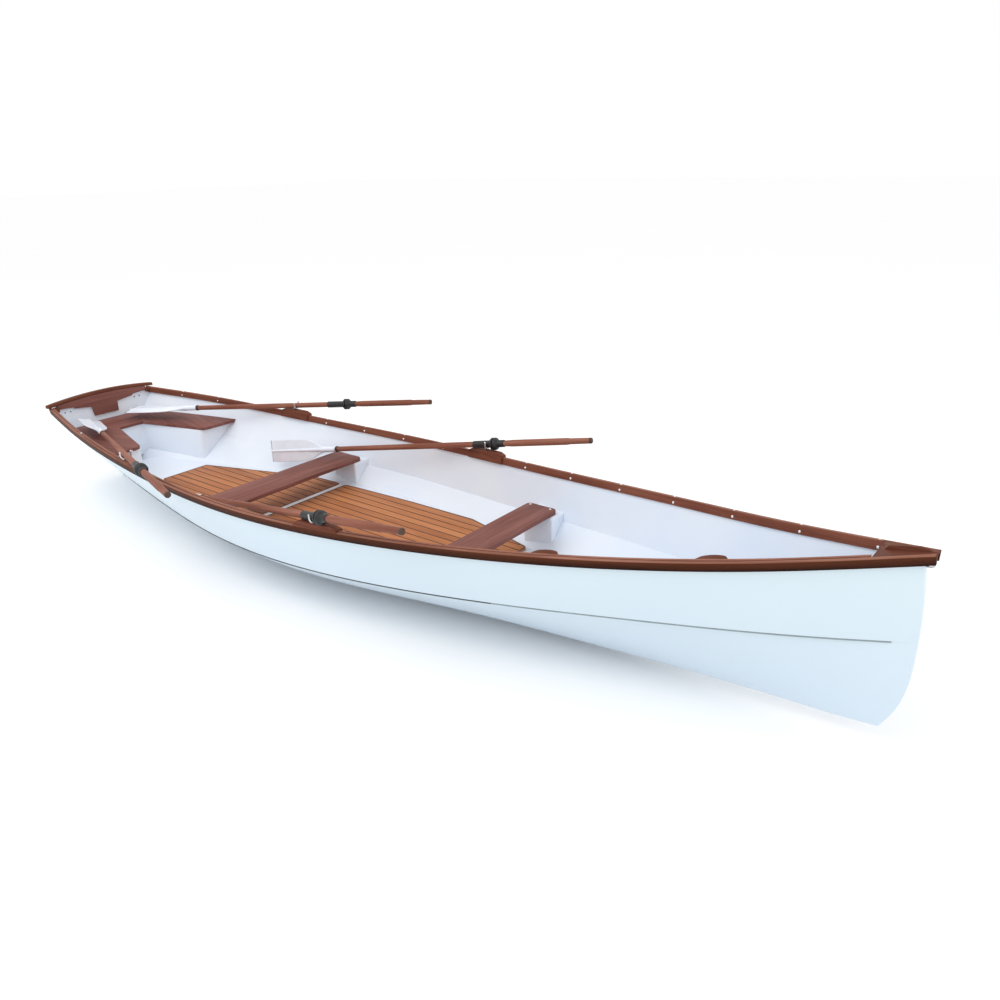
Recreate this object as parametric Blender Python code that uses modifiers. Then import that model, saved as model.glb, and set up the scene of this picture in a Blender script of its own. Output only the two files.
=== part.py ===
"""Whitehall rowing boat for two rowers, with its four oars lying in their rowlocks.

Metres. +X is the bow, +Y is port and +Z is up. The origin is amidships, on the centreline, at the waterline.
"""
import math

import bpy
import bmesh
from mathutils import Matrix, Vector

for old in list(bpy.data.objects):
    bpy.data.objects.remove(old, do_unlink=True)

# Clearance between pieces that rest on or in each other
GAP = 0.0003
# Extra clearance from the hull's side for what is fitted inside it
FIT = 0.0006

# Sheer: station X, half-breadth and height of the rail's outer lower edge
SHEER = (
    (-2.515, 0.338, 0.357),
    (-1.911, 0.476, 0.335),
    (-1.106, 0.588, 0.306),
    (-0.250, 0.631, 0.306),
    (0.605, 0.541, 0.344),
    (1.410, 0.374, 0.419),
    (2.014, 0.193, 0.502),
    (2.517, 0.020, 0.598),
)
# Rail's lean outward with the hull's flare: station X, degrees
LEAN = (
    (-2.515, 8.0),
    (-1.900, 13.0),
    (-0.250, 15.0),
    (0.600, 14.0),
    (2.517, 13.0),
)
# Keel: station X, height of the hull's bottom on the centreline
KEEL = (
    (-2.515, -0.015),
    (-1.905, -0.061),
    (-1.295, -0.098),
    (-0.381, -0.122),
    (0.229, -0.122),
    (0.838, -0.113),
    (1.356, -0.098),
    (2.057, -0.066),
    (2.301, -0.056),
)
# Upper strake's lower edge: station X, height, distance in from the rail's outer lower edge
KNUCKLE = (
    (-2.515, 0.197, 0.150),
    (-1.500, 0.154, 0.122),
    (-0.500, 0.121, 0.060),
    (0.366, 0.129, 0.052),
    (1.030, 0.175, 0.052),
    (1.580, 0.221, 0.050),
    (2.100, 0.260, 0.044),
    (2.450, 0.300, 0.030),
)
# Bottom's fullness: station X, exponent of its curve from the keel to the strake
FULLNESS = (
    (-2.515, 0.65),
    (-1.900, 1.00),
    (-1.500, 1.50),
    (-1.000, 2.10),
    (-0.400, 2.45),
    (0.170, 2.20),
    (0.700, 1.75),
    (1.400, 1.62),
    (2.090, 1.55),
    (2.270, 1.55),
)
# Stem: height, X of its face
STEM = (
    (-0.045, 2.420),
    (0.015, 2.453),
    (0.091, 2.480),
    (0.159, 2.491),
    (0.268, 2.496),
    (0.378, 2.496),
    (0.496, 2.488),
    (0.579, 2.478),
    (0.625, 2.472),
)

# Hull shell
SHELL = 0.0070
HULL_IN = 0.0113
HULL_TOP = 0.0317
BAND_FOOT = -0.012
LAP = 0.008
LAP_DROP = 0.0015
KEEL_HALF = 0.012
STEM_HALF = 0.010
STEM_TOP_HALF = 0.018
BELLY_POINTS = 9
STRAKE_BULGE = 0.08
STRAKE_SHARES = (0.35, 0.70)
STEM_KNUCKLE = 0.312
TRANSOM = 0.025
RAKE = 0.12
RAKE_TOP = 0.390
RAKE_END = -2.0
CROWN_START = 0.312
CROWN_END = 0.290
CROWN_STEPS = 8

# Gunwale, inward and up from its outer lower edge: the outer rail laps over the hull, the inner strip is inside
RAIL_TOP = 0.036
RAIL_WIDTH = 0.0110
RAIL_LIP = 0.0152
STRIP_OUT = 0.0186
STRIP_IN = 0.0290
STRIP_FOOT = -0.0005
STRIP_STERN = -2.470
STRIP_BOW = 2.330
NOSE = 2.530

# Transom pieces, measured up the raked transom from RAKE_TOP
CAP_THICK = 0.021
CAP_CROWN = 0.026
CAP_HALF = 0.358
CAP_FOOT = 0.0036
CAP_AFT = -0.004
CAP_DEPTH = 0.046
BOARD_THICK = 0.015

# Floor, thwarts and stern seat heights
SOLE_TOP = 0.0373
SOLE_THICK = 0.012
TEAK_TOP = 0.0476
SEAT_TOP = 0.259
SEAT_THICK = 0.018
MOULD_FRONT = -1.746

# Rowlocks and oars
PIN_IN = 0.0155
PIN_RADIUS = 0.006
PIN_HOLE = 0.0068
PIN_LENGTH = 0.016
BLOCK_RISE = 0.018
BLOCK_PROUD = 0.0390
BAR_RADIUS = 0.0050
HORN_RADIUS = 0.0255
HORN_LEG = 0.016
LOOM_RADIUS = 0.0155
HANDLE_RADIUS = 0.0175
THROAT_RADIUS = 0.0140
SLEEVE_RADIUS = 0.0190
BUTTON_RADIUS = 0.0325
HANDLE_LENGTH = 0.550
SHAFT_LENGTH = 1.050
BLADE_LENGTH = 0.500
BLADE_HALF = 0.066
SIDES = 20


def spline(table, column):
    """Natural cubic spline through one column of a table whose first column is X."""
    xs = [row[0] for row in table]
    ys = [row[column] for row in table]
    count = len(xs)
    lower = [0.0] * count
    right = [0.0] * count
    for i in range(1, count - 1):
        before = xs[i] - xs[i - 1]
        after = xs[i + 1] - xs[i]
        bend = 6.0 * ((ys[i + 1] - ys[i]) / after - (ys[i] - ys[i - 1]) / before)
        pivot = 2.0 * (before + after) - before * lower[i - 1]
        lower[i] = after / pivot
        right[i] = (bend - before * right[i - 1]) / pivot
    curve = [0.0] * count
    for i in range(count - 2, 0, -1):
        curve[i] = right[i] - lower[i] * curve[i + 1]

    def value(x):
        i = 0
        while i < count - 2 and x > xs[i + 1]:
            i += 1
        span = xs[i + 1] - xs[i]
        a = (xs[i + 1] - x) / span
        b = (x - xs[i]) / span
        cubic = (a ** 3 - a) * curve[i] + (b ** 3 - b) * curve[i + 1]
        return a * ys[i] + b * ys[i + 1] + cubic * span * span / 6.0

    return value


half_breadth = spline(SHEER, 1)
sheer_low = spline(SHEER, 2)
lean = spline(LEAN, 1)
keel_height = spline(KEEL, 1)
knuckle_height = spline(KNUCKLE, 1)
knuckle_inset = spline(KNUCKLE, 2)
fullness = spline(FULLNESS, 1)
stem_face = spline(STEM, 1)

# Flat sections of the hull, and the stations that the rails use past them
SECTIONS = (-2.515, -2.490, -2.380, -2.200, -2.000, -1.800, -1.600, -1.400, -1.200, -1.000, -0.800, -0.600,
            -0.400, -0.200, 0.000, 0.200, 0.400, 0.600, 0.800, 1.000, 1.200, 1.400, 1.600, 1.800, 2.000,
            2.140, 2.270)
STATIONS = SECTIONS + (2.380, 2.455, NOSE + 0.005)
FAN = (2.380, 2.455)


def stretch(x):
    """Length of the sheer in plan for each metre of X."""
    step = 0.001
    return math.hypot(1.0, (half_breadth(x + step) - half_breadth(x - step)) / (2.0 * step))


def chord(function, x):
    """Value on the straight line between the two stations around x, as the faceted pieces have it."""
    for left, right in zip(STATIONS, STATIONS[1:]):
        if x <= right:
            share = (x - left) / (right - left)
            return function(left) * (1.0 - share) + function(right) * share
    return function(x)


def edge(x, inset):
    """Half-breadth of the sheer, a distance in from the rail's outer face."""
    return chord(lambda s: half_breadth(s) - inset * stretch(s), x)


def on_rail(x, inward, up):
    """Half-breadth and height of a spot on the leaning rail, inward and up from its outer lower edge."""
    def out(s):
        tilt = math.radians(lean(s))
        return half_breadth(s) + (up * math.sin(tilt) - inward * math.cos(tilt)) * stretch(s)

    def height(s):
        tilt = math.radians(lean(s))
        return sheer_low(s) + up * math.cos(tilt) + inward * math.sin(tilt)

    return chord(out, x), chord(height, x)


def raked(x, y, z):
    """A point near the stern, leaned with the transom."""
    lean = min(1.0, max(0.0, (RAKE_END - x) / (RAKE_END - SECTIONS[1])))
    return Vector((x + RAKE * lean * (RAKE_TOP - z), y, z))


def stations_between(start, end):
    """The two ends and every station between them."""
    inner = [x for x in STATIONS if start + 0.004 < x < end - 0.004]
    return [start] + inner + [end]


# Scene plumbing

parts = bpy.data.collections.new("whitehall_rowing_boat")
cutters = bpy.data.collections.new("cutters")
bpy.context.scene.collection.children.link(parts)
bpy.context.scene.collection.children.link(cutters)


def material(name, colour, roughness, metallic=0.0):
    made = bpy.data.materials.new(name)
    made.use_nodes = True
    shader = made.node_tree.nodes["Principled BSDF"]
    shader.inputs["Base Color"].default_value = (*colour, 1.0)
    shader.inputs["Roughness"].default_value = roughness
    shader.inputs["Metallic"].default_value = metallic
    return made


# Look: colour, roughness, metallic
LOOKS = {
    "gelcoat": ((0.78, 0.83, 0.88), 0.25, 0.0),
    "mahogany": ((0.26, 0.09, 0.05), 0.35, 0.0),
    "teak": ((0.50, 0.23, 0.09), 0.55, 0.0),
    "black_plastic": ((0.02, 0.02, 0.02), 0.40, 0.0),
    "white_plastic": ((0.82, 0.84, 0.86), 0.35, 0.0),
    "steel": ((0.70, 0.70, 0.70), 0.25, 1.0),
}


def finish(shape, look, smooth_angle=35.0):
    """Puts a finished object among the parts with a material of its own."""
    colour, roughness, metallic = LOOKS[look]
    shape.data.materials.clear()
    shape.data.materials.append(material(shape.name + "_" + look, colour, roughness, metallic))
    if shape.type == "MESH":
        shape.data.shade_smooth()
        shape.data.set_sharp_from_angle(angle=math.radians(smooth_angle))
    parts.objects.link(shape)
    return shape


def as_cutter(shape):
    shape.hide_render = True
    shape.display_type = "WIRE"
    cutters.objects.link(shape)
    return shape


def mesh_object(name, points, faces):
    """A mesh from points and faces, its faces turned outward."""
    mesh = bpy.data.meshes.new(name)
    mesh.from_pydata([tuple(p) for p in points], [], faces)
    shape = bmesh.new()
    shape.from_mesh(mesh)
    bmesh.ops.recalc_face_normals(shape, faces=shape.faces)
    shape.to_mesh(mesh)
    shape.free()
    return bpy.data.objects.new(name, mesh)


def loft(name, rings):
    """A closed body through rings of equal length, with both ends capped."""
    size = len(rings[0])
    points = [p for ring in rings for p in ring]
    faces = []
    for i in range(len(rings) - 1):
        for k in range(size):
            after = (k + 1) % size
            faces.append((i * size + k, i * size + after, (i + 1) * size + after, (i + 1) * size + k))
    faces.append(tuple(range(size)))
    faces.append(tuple((len(rings) - 1) * size + k for k in range(size)))
    return mesh_object(name, points, faces)


def box(name, low_corner, high_corner):
    """A box between two corners."""
    mesh = bpy.data.meshes.new(name)
    shape = bmesh.new()
    bmesh.ops.create_cube(shape, size=1.0)
    size = [b - a for a, b in zip(low_corner, high_corner)]
    centre = [(a + b) / 2.0 for a, b in zip(low_corner, high_corner)]
    bmesh.ops.scale(shape, vec=size, verts=shape.verts)
    bmesh.ops.translate(shape, vec=centre, verts=shape.verts)
    shape.to_mesh(mesh)
    shape.free()
    return bpy.data.objects.new(name, mesh)


def rounded(corners, steps=5):
    """Outline through (x, y, radius) corners, with round corners as arcs."""
    outline = []
    count = len(corners)
    for i in range(count):
        x, y, radius = corners[i]
        here = Vector((x, y))
        if radius == 0.0:
            outline.append(here)
            continue
        to_last = (Vector(corners[i - 1][:2]) - here).normalized()
        to_next = (Vector(corners[(i + 1) % count][:2]) - here).normalized()
        half = to_last.angle(to_next) / 2.0
        start = here + to_last * (radius / math.tan(half))
        centre = here + (to_last + to_next).normalized() * (radius / math.sin(half))
        sweep = math.pi - 2.0 * half
        turn = -1.0 if to_last.cross(to_next) > 0.0 else 1.0
        spoke = start - centre
        for k in range(steps + 1):
            angle = turn * sweep * k / steps
            cos, sin = math.cos(angle), math.sin(angle)
            outline.append(centre + Vector((spoke.x * cos - spoke.y * sin, spoke.x * sin + spoke.y * cos)))
    return outline


def plate(name, outline, bottom, top):
    """A flat outline in XY as a solid between two heights, made from a filled curve."""
    curve = bpy.data.curves.new(name, "CURVE")
    curve.dimensions = "2D"
    curve.fill_mode = "BOTH"
    curve.extrude = (top - bottom) / 2.0
    line = curve.splines.new("POLY")
    line.points.add(len(outline) - 1)
    for point, spot in zip(line.points, outline):
        point.co = (spot[0], spot[1], 0.0, 1.0)
    line.use_cyclic_u = True
    shape = bpy.data.objects.new(name, curve)
    shape.location.z = (top + bottom) / 2.0
    return shape


def meshed(shape):
    """The object as a closed mesh, so that it can be cut."""
    bpy.context.scene.collection.objects.link(shape)
    bpy.context.view_layer.update()
    evaluated = shape.evaluated_get(bpy.context.evaluated_depsgraph_get())
    mesh = bpy.data.meshes.new_from_object(evaluated)
    made = bmesh.new()
    made.from_mesh(mesh)
    bmesh.ops.remove_doubles(made, verts=made.verts, dist=0.00001)
    bmesh.ops.recalc_face_normals(made, faces=made.faces)
    made.to_mesh(mesh)
    made.free()
    matrix = shape.matrix_world.copy()
    name = shape.name
    bpy.data.objects.remove(shape, do_unlink=True)
    result = bpy.data.objects.new(name, mesh)
    result.matrix_world = matrix
    return result


def cut(shape, cutter, operation):
    modifier = shape.modifiers.new(cutter.name, "BOOLEAN")
    modifier.operation = operation
    modifier.solver = "EXACT"
    modifier.object = cutter
    return shape


def soften(shape, width, segments=2):
    modifier = shape.modifiers.new("soft_edges", "BEVEL")
    modifier.width = width
    modifier.segments = segments
    modifier.limit_method = "ANGLE"
    modifier.angle_limit = math.radians(40.0)
    return shape


# Hull shell

def belly(x, half, foot, top):
    """Points of the bottom's curve from the strake in to the keel, equally spaced along it."""
    power = fullness(x)
    fine = 240
    dense = []
    for k in range(fine + 1):
        share = 1.0 - k / fine
        if power < 1.0:
            share = share ** (1.0 / power)
        dense.append((KEEL_HALF + (half - KEEL_HALF) * share, foot + (top - foot) * share ** power))
    run = [0.0]
    for a, b in zip(dense, dense[1:]):
        run.append(run[-1] + math.hypot(b[0] - a[0], b[1] - a[1]))
    points = []
    k = 0
    for step in range(BELLY_POINTS + 1):
        goal = run[-1] * step / BELLY_POINTS
        while k < fine - 1 and run[k + 1] < goal:
            k += 1
        share = (goal - run[k]) / (run[k + 1] - run[k])
        points.append(tuple(dense[k][c] + (dense[k + 1][c] - dense[k][c]) * share for c in (0, 1)))
    return points


def half_section(x):
    """Port half of the hull's outer section, from the sheer down to the keel, as (y, z)."""
    height = knuckle_height(x)
    knuckle = half_breadth(x) - knuckle_inset(x)
    side, foot = on_rail(x, HULL_IN, BAND_FOOT)
    bulge = STRAKE_BULGE * (side - knuckle)
    upper = [on_rail(x, HULL_IN, HULL_TOP), (side, foot)]
    for share in STRAKE_SHARES:
        lift = 4.0 * share * (1.0 - share) * bulge
        upper.append((side + (knuckle - side) * share + lift, foot + (height - foot) * share))
    upper.append((knuckle, height))
    return upper + belly(x, knuckle - LAP, keel_height(x), height - LAP_DROP)


def inset(section, distance, plan_stretch):
    """The section moved inward by a distance, measured square to its faces."""
    full = section + [(-y, z) for y, z in reversed(section)]
    result = []
    for k in range(len(section)):
        y, z = section[k]
        after = full[k + 1]
        out = (after[1] - z, -(after[0] - y))
        length = math.hypot(*out)
        below = (out[0] / length, out[1] / length)
        if k == 0:
            result.append((y - distance * plan_stretch, z))
            continue
        before = section[k - 1]
        out = (z - before[1], -(y - before[0]))
        length = math.hypot(*out)
        above = (out[0] / length, out[1] / length)
        mitre = (above[0] + below[0], above[1] + below[1])
        scale = distance / (1.0 + above[0] * below[0] + above[1] * below[1])
        spread = plan_stretch if k < 3 else 1.0
        result.append((y + mitre[0] * scale * spread, z + mitre[1] * scale))
    return result


SECTION_ROWS = [half_section(x) for x in SECTIONS]
ROWS = len(SECTION_ROWS[0])


def stem_heights():
    """Height of each row where it meets the stem."""
    last = SECTION_ROWS[-1]
    heights = [on_rail(STEM[-1][1], HULL_IN, up)[1] for up in (HULL_TOP, BAND_FOOT)]
    for share in STRAKE_SHARES:
        heights.append(heights[1] + (STEM_KNUCKLE - heights[1]) * share)
    heights.append(STEM_KNUCKLE)
    foot = STEM[0][0]
    for row in range(5, ROWS):
        share = (last[row][1] - last[-1][1]) / (last[5][1] - last[-1][1])
        heights.append(foot + (STEM_KNUCKLE - LAP_DROP - foot) * share)
    return heights


def bow_columns():
    """Port points past the last flat section: two columns that turn into the stem, and the stem."""
    heights = stem_heights()
    columns = []
    top_run = stem_face(min(heights[0], STEM[-1][0])) - SECTIONS[-1]
    for goal in FAN + (None,):
        share = 1.0 if goal is None else (goal - SECTIONS[-1]) / top_run
        column = []
        for row in range(ROWS):
            y, z = SECTION_ROWS[-1][row]
            up = max(0.0, (heights[row] - heights[4]) / (heights[0] - heights[4]))
            nose = STEM_HALF + (STEM_TOP_HALF - STEM_HALF) * up
            face = stem_face(min(heights[row], STEM[-1][0]))
            straight = nose + (y - nose) * (1.0 - share)
            x = SECTIONS[-1] + (face - SECTIONS[-1]) * share
            height = z + (heights[row] - z) * share
            if goal is not None:
                full = edge(goal, HULL_IN) / edge(SECTIONS[-1], HULL_IN) * y
                straight += (max(full, straight) - straight) * up ** 2
            if goal is not None and row < 2:
                x = goal
                straight, height = on_rail(goal, HULL_IN, (HULL_TOP, BAND_FOOT)[row])
            column.append((x, straight, height))
        columns.append(column)
    return columns


def mirrored(column):
    """A port column of points with its starboard mirror, as one ring."""
    return column + [Vector((p[0], -p[1], p[2])) for p in reversed(column)]


def skin_rings(distance, first):
    """Rings of the shell's inner face, a distance in from the outer one."""
    rings = []
    for x, section in list(zip(SECTIONS, SECTION_ROWS))[first:]:
        moved = inset(section, distance, stretch(x))
        rings.append(mirrored([raked(x, y, z) for y, z in moved]))
    column = bow_columns()[0]
    moved = inset([(p[1], p[2]) for p in column], distance, stretch(FAN[0]))
    rings.append(mirrored([Vector((p[0], y, z)) for p, (y, z) in zip(column, moved)]))
    return rings


def crown_height(y):
    """Top of the hull's transom under its cap."""
    share = 1.0 - (y / CAP_HALF) ** 2
    return RAKE_TOP + (CAP_FOOT + CAP_CROWN * share) / math.hypot(1.0, RAKE) - 2.0 * GAP


def ladder(ring_start, size):
    """Faces across a symmetric ring, from its two top points down to the keel."""
    last = ring_start + size - 1
    return [(ring_start + k, ring_start + k + 1, last - k - 1, last - k) for k in range(size // 2 - 1)]


def skin_faces(start, count, size):
    """Triangles between neighbouring rings, split the same way on both sides and in every skin."""
    faces = []
    for i in range(count - 1):
        for k in range(size - 1):
            a, b = start + i * size + k, start + (i + 1) * size + k
            if k < size // 2:
                faces += [(a, a + 1, b + 1), (a, b + 1, b)]
            else:
                faces += [(a, a + 1, b), (a + 1, b + 1, b)]
    return faces


def hull_shell():
    outer = [mirrored([raked(x, y, z) for y, z in section]) for x, section in zip(SECTIONS, SECTION_ROWS)]
    for column in bow_columns():
        outer.append(mirrored([Vector(p) for p in column]))
    inner = skin_rings(SHELL, 1)
    size = 2 * ROWS
    points = [p for ring in outer + inner for p in ring]
    faces = []
    base = len(outer) * size
    faces += skin_faces(0, len(outer), size)
    faces += skin_faces(base, len(inner), size)
    for i in range(len(inner) - 1):
        for k in (0, size - 1):
            a, b = (i + 1) * size + k, base + i * size + k
            faces.append((a, a + size, b + size, b))
    faces += ladder(0, size)
    faces += ladder(base, size)
    faces += ladder(base + (len(inner) - 1) * size, size)
    stem = (len(outer) - 1) * size
    faces += ladder(stem, size)
    end = base + (len(inner) - 1) * size
    near, far = stem - 2 * size, stem - size
    faces.append((end, near, far, far + size - 1, near + size - 1, end + size - 1))
    faces.append((far, stem, stem + size - 1, far + size - 1))
    crown = len(points)
    spots = [CROWN_END * (1.0 - 2.0 * k / CROWN_STEPS) for k in range(CROWN_STEPS + 1)]
    for x in SECTIONS[:2]:
        flat = on_rail(x, HULL_IN, HULL_TOP)[1]
        points.append(raked(x, CROWN_START, flat))
        points += [raked(x, y, crown_height(y)) for y in spots]
        points.append(raked(x, -CROWN_START, flat))
    count = len(spots) + 2
    faces.append((0, *range(crown, crown + count), size - 1))
    faces.append((base, *range(crown + count, crown + 2 * count), base + size - 1))
    for k in range(count - 1):
        a, b = crown + k, crown + count + k
        faces.append((a, a + 1, b + 1, b))
    faces.append((0, size, base, crown + count, crown))
    faces.append((size - 1, 2 * size - 1, base + size - 1, crown + 2 * count - 1, crown + count - 1))
    return finish(mesh_object("hull_shell", points, faces), "gelcoat")


def interior_cutter():
    """The space inside the shell, closed at the sheer, for shapes that fit the hull's side."""
    rings = skin_rings(SHELL + FIT, 1)
    for p in rings[0]:
        p.x += GAP
    size = 2 * ROWS
    points = [p for ring in rings for p in ring]
    faces = []
    faces += skin_faces(0, len(rings), size)
    for i in range(len(rings) - 1):
        a, b = i * size, (i + 1) * size
        faces.append((a, a + size - 1, b + size - 1, b))
    faces += ladder(0, size)
    faces += ladder((len(rings) - 1) * size, size)
    return as_cutter(mesh_object("interior", points, faces))


hull_shell()
interior = interior_cutter()


def fitted(shape, look):
    """Cuts a shape to the inside of the hull and adds it to the parts."""
    return finish(cut(shape, interior, "INTERSECT"), look)


# Skeg below the hull's after part
SKEG_START = -2.440
SKEG_END = -0.300
SKEG_HALF = 0.012
SKEG_FOOT = -0.128
SKEG_LEAST = 0.004


def keel_skeg():
    rings = []
    for x in stations_between(SKEG_START, SKEG_END):
        shoulder = chord(keel_height, x) - GAP
        foot = min(SKEG_FOOT, shoulder - SKEG_LEAST)
        lean = raked(x, 0.0, shoulder).x
        rings.append([Vector((lean, side * SKEG_HALF, z)) for side, z in
                      ((1, shoulder), (-1, shoulder), (-1, foot), (1, foot))])
    return finish(loft("keel_skeg", rings), "gelcoat")


keel_skeg()

# Floor, pedestals and stern moulding: each reaches past the hull's side before it is cut to it
SOLE_AFT = -2.10
SOLE_FORE = 1.80
PAST_SIDE = 0.75
PEDESTAL_ROUND = 0.010
THWART_CORNER = 0.022
THWART_EDGE = 0.003

fitted(box("sole", (SOLE_AFT, -PAST_SIDE, SOLE_TOP - SOLE_THICK), (SOLE_FORE, PAST_SIDE, SOLE_TOP)), "gelcoat")

# Teak panels: half outline as X, half-breadth, corner radius
PANELS = {
    "floor_panel_aft": ((-1.700, 0.076, 0.010), (-1.155, 0.3145, 0.0), (-0.940, 0.3937, 0.0),
                        (-0.741, 0.4026, 0.0), (-0.697, 0.402, 0.030)),
    "floor_panel_forward": ((-0.666, 0.405, 0.030), (-0.560, 0.4125, 0.0), (-0.150, 0.4300, 0.0),
                            (0.270, 0.4323, 0.0), (0.702, 0.3165, 0.030)),
}
# Pedestals under the thwarts: name, aft X, forward X, inboard Y, top
PEDESTALS = (
    ("aft", -0.805, -0.625, 0.457, 0.1687),
    ("forward", 0.650, 0.820, 0.360, 0.2077),
)
# Thwarts: name, aft X, forward X, half-length, top, thickness
THWARTS = (
    ("aft", -0.838, -0.631, 0.518, 0.189, 0.020),
    ("forward", 0.634, 0.802, 0.427, 0.229, 0.021),
)

for panel, half_outline in PANELS.items():
    starboard = [(x, -y, r) for x, y, r in half_outline]
    corners = starboard + [(x, y, r) for x, y, r in reversed(half_outline)]
    slab = meshed(plate(panel, rounded(corners), SOLE_TOP + GAP, TEAK_TOP))
    fitted(slab, "teak")

for place, aft, fore, inboard, top in PEDESTALS:
    for side, sign in (("port", 1), ("starboard", -1)):
        near, far = sorted((sign * inboard, sign * PAST_SIDE))
        pedestal = box("thwart_pedestal_" + place + "_" + side, (aft, near, SOLE_TOP + GAP), (fore, far, top))
        fitted(soften(pedestal, PEDESTAL_ROUND), "gelcoat")

for place, aft, fore, half, top, thick in THWARTS:
    corners = [(x, y, THWART_CORNER) for x, y in ((aft, -half), (fore, -half), (fore, half), (aft, half))]
    thwart = meshed(plate("thwart_" + place, rounded(corners), top - thick, top))
    finish(soften(thwart, THWART_EDGE), "mahogany")

# Moulding under the stern seat: port half outline as X, half-breadth, corner radius
PAST_STERN = -2.60
MOULD = ((-2.207, 0.095, 0.015), (MOULD_FRONT, 0.205, 0.025), (MOULD_FRONT, PAST_SIDE, 0.0),
         (PAST_STERN, PAST_SIDE, 0.0))
mould_corners = [(x, -y, r) for x, y, r in reversed(MOULD)] + list(MOULD)
mould = meshed(plate("stern_seat_mould", rounded(mould_corners), SOLE_TOP + GAP, SEAT_TOP - SEAT_THICK - GAP))
fitted(mould, "gelcoat")

# Stern seat boards: the mitres run from the well's corners to the after corners
JOINT = 0.0004
SEAT_AFT = -2.457
MITRE_AFT = (-2.423, 0.177)
MITRE_FORE = (-2.192, 0.082)
SEAT_FORE = (-1.722, 0.216)
SEAT_FRONT = -1.700
SEAT_AFT_HALF = 0.165
aft_half = ((SEAT_AFT, SEAT_AFT_HALF, 0.0), (*MITRE_AFT, 0.0), (*MITRE_FORE, 0.0))
aft_corners = [(x, -y, r) for x, y, r in aft_half] + list(reversed(aft_half))
fitted(meshed(plate("stern_seat_aft", rounded(aft_corners), SEAT_TOP - SEAT_THICK, SEAT_TOP)), "mahogany")
for side, sign in (("port", 1), ("starboard", -1)):
    corners = [(MITRE_AFT[0], sign * (MITRE_AFT[1] + JOINT), 0.0),
               (MITRE_FORE[0], sign * (MITRE_FORE[1] + JOINT), 0.004),
               (SEAT_FORE[0], sign * SEAT_FORE[1], 0.040),
               (SEAT_FRONT, sign * PAST_SIDE, 0.0),
               (MITRE_AFT[0], sign * PAST_SIDE, 0.0)]
    seat = meshed(plate("stern_seat_" + side, rounded(corners), SEAT_TOP - SEAT_THICK, SEAT_TOP))
    fitted(seat, "mahogany")


# Gunwales

def gunwale_outer(side, sign):
    rings = []
    for x in stations_between(STATIONS[0], NOSE):
        shoulder = HULL_TOP + GAP
        section = ((0.0, 0.0), (RAIL_WIDTH, 0.0), (RAIL_WIDTH, shoulder), (RAIL_LIP, shoulder),
                   (RAIL_LIP, RAIL_TOP), (0.0, RAIL_TOP))
        spots = [on_rail(x, inward, up) for inward, up in section]
        rings.append([raked(x, sign * y, z) for y, z in spots])
    return finish(loft("gunwale_outer_" + side, rings), "mahogany")


def gunwale_inner(side, sign):
    section = ((STRIP_OUT, STRIP_FOOT), (STRIP_IN, STRIP_FOOT), (STRIP_IN, RAIL_TOP), (STRIP_OUT, RAIL_TOP))
    rings = []
    for x in stations_between(STRIP_STERN, STRIP_BOW):
        spots = [on_rail(x, inward, up) for inward, up in section]
        rings.append([raked(x, sign * y, z) for y, z in spots])
    return finish(loft("gunwale_inner_" + side, rings), "mahogany")


# Blocks under the rowlocks: the ends' slope, and the top's distance in from the rail's outer face
BLOCK_SLOPE = 0.030
BLOCK_DROP = 0.012
BLOCK_IN = 0.002
HOLE_FOOT = -0.10
HOLE_TOP = 0.02
# Rowlock stations: name, pin X, block's aft X, block's forward X
ROWLOCKS = (
    ("aft", -1.234, -1.341, -1.128),
    ("forward", 0.259, 0.139, 0.379),
)


def block_top(x, rise):
    """Height of a block's level top, a rise above the rail's inner edge."""
    return on_rail(x, STRIP_IN, RAIL_TOP)[1] + rise


def pin_spot(x, sign):
    """Pin axis where it leaves the block's top."""
    return Vector((x, sign * on_rail(x, PIN_IN, RAIL_TOP)[0], block_top(x, BLOCK_RISE)))


def cylinder(name, radius, bottom, top, spot):
    mesh = bpy.data.meshes.new(name)
    shape = bmesh.new()
    bmesh.ops.create_cone(shape, cap_ends=True, segments=SIDES, radius1=radius, radius2=radius, depth=top - bottom)
    bmesh.ops.translate(shape, vec=(0.0, 0.0, (top + bottom) / 2.0), verts=shape.verts)
    shape.to_mesh(mesh)
    shape.free()
    made = bpy.data.objects.new(name, mesh)
    made.location = spot
    return made


def rowlock_block(name, sign, aft, fore, pin):
    rings = []
    for x in stations_between(aft, fore):
        ends = [(x, BLOCK_RISE)]
        if x == aft:
            ends = [(aft, BLOCK_RISE - BLOCK_DROP), (aft + BLOCK_SLOPE, BLOCK_RISE)]
        if x == fore:
            ends = [(fore - BLOCK_SLOPE, BLOCK_RISE), (fore, BLOCK_RISE - BLOCK_DROP)]
        for spot, rise in ends:
            seat, leg, top = RAIL_TOP + GAP, STRIP_IN + GAP, block_top(spot, rise)
            section = ((BLOCK_IN, seat), (leg, seat), (leg, STRIP_FOOT), (BLOCK_PROUD, STRIP_FOOT))
            ring = [on_rail(spot, inward, up) for inward, up in section]
            ring += [(on_rail(spot, inward, RAIL_TOP)[0], top) for inward in (BLOCK_PROUD, BLOCK_IN)]
            rings.append([Vector((spot, sign * y, z)) for y, z in ring])
    return finish(cut(loft(name, rings), pin, "DIFFERENCE"), "mahogany")


for side, sign in (("port", 1), ("starboard", -1)):
    for place, x, aft, fore in ROWLOCKS:
        hole = cylinder("pin_hole_" + place + "_" + side, PIN_HOLE, HOLE_FOOT, HOLE_TOP, pin_spot(x, sign))
        as_cutter(hole)
        rowlock_block("rowlock_block_" + place + "_" + side, sign, aft, fore, hole)
    gunwale_outer(side, sign)
    gunwale_inner(side, sign)


# Transom cap and board, drawn on the raked transom: local X is port, local Y is up the transom

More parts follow.
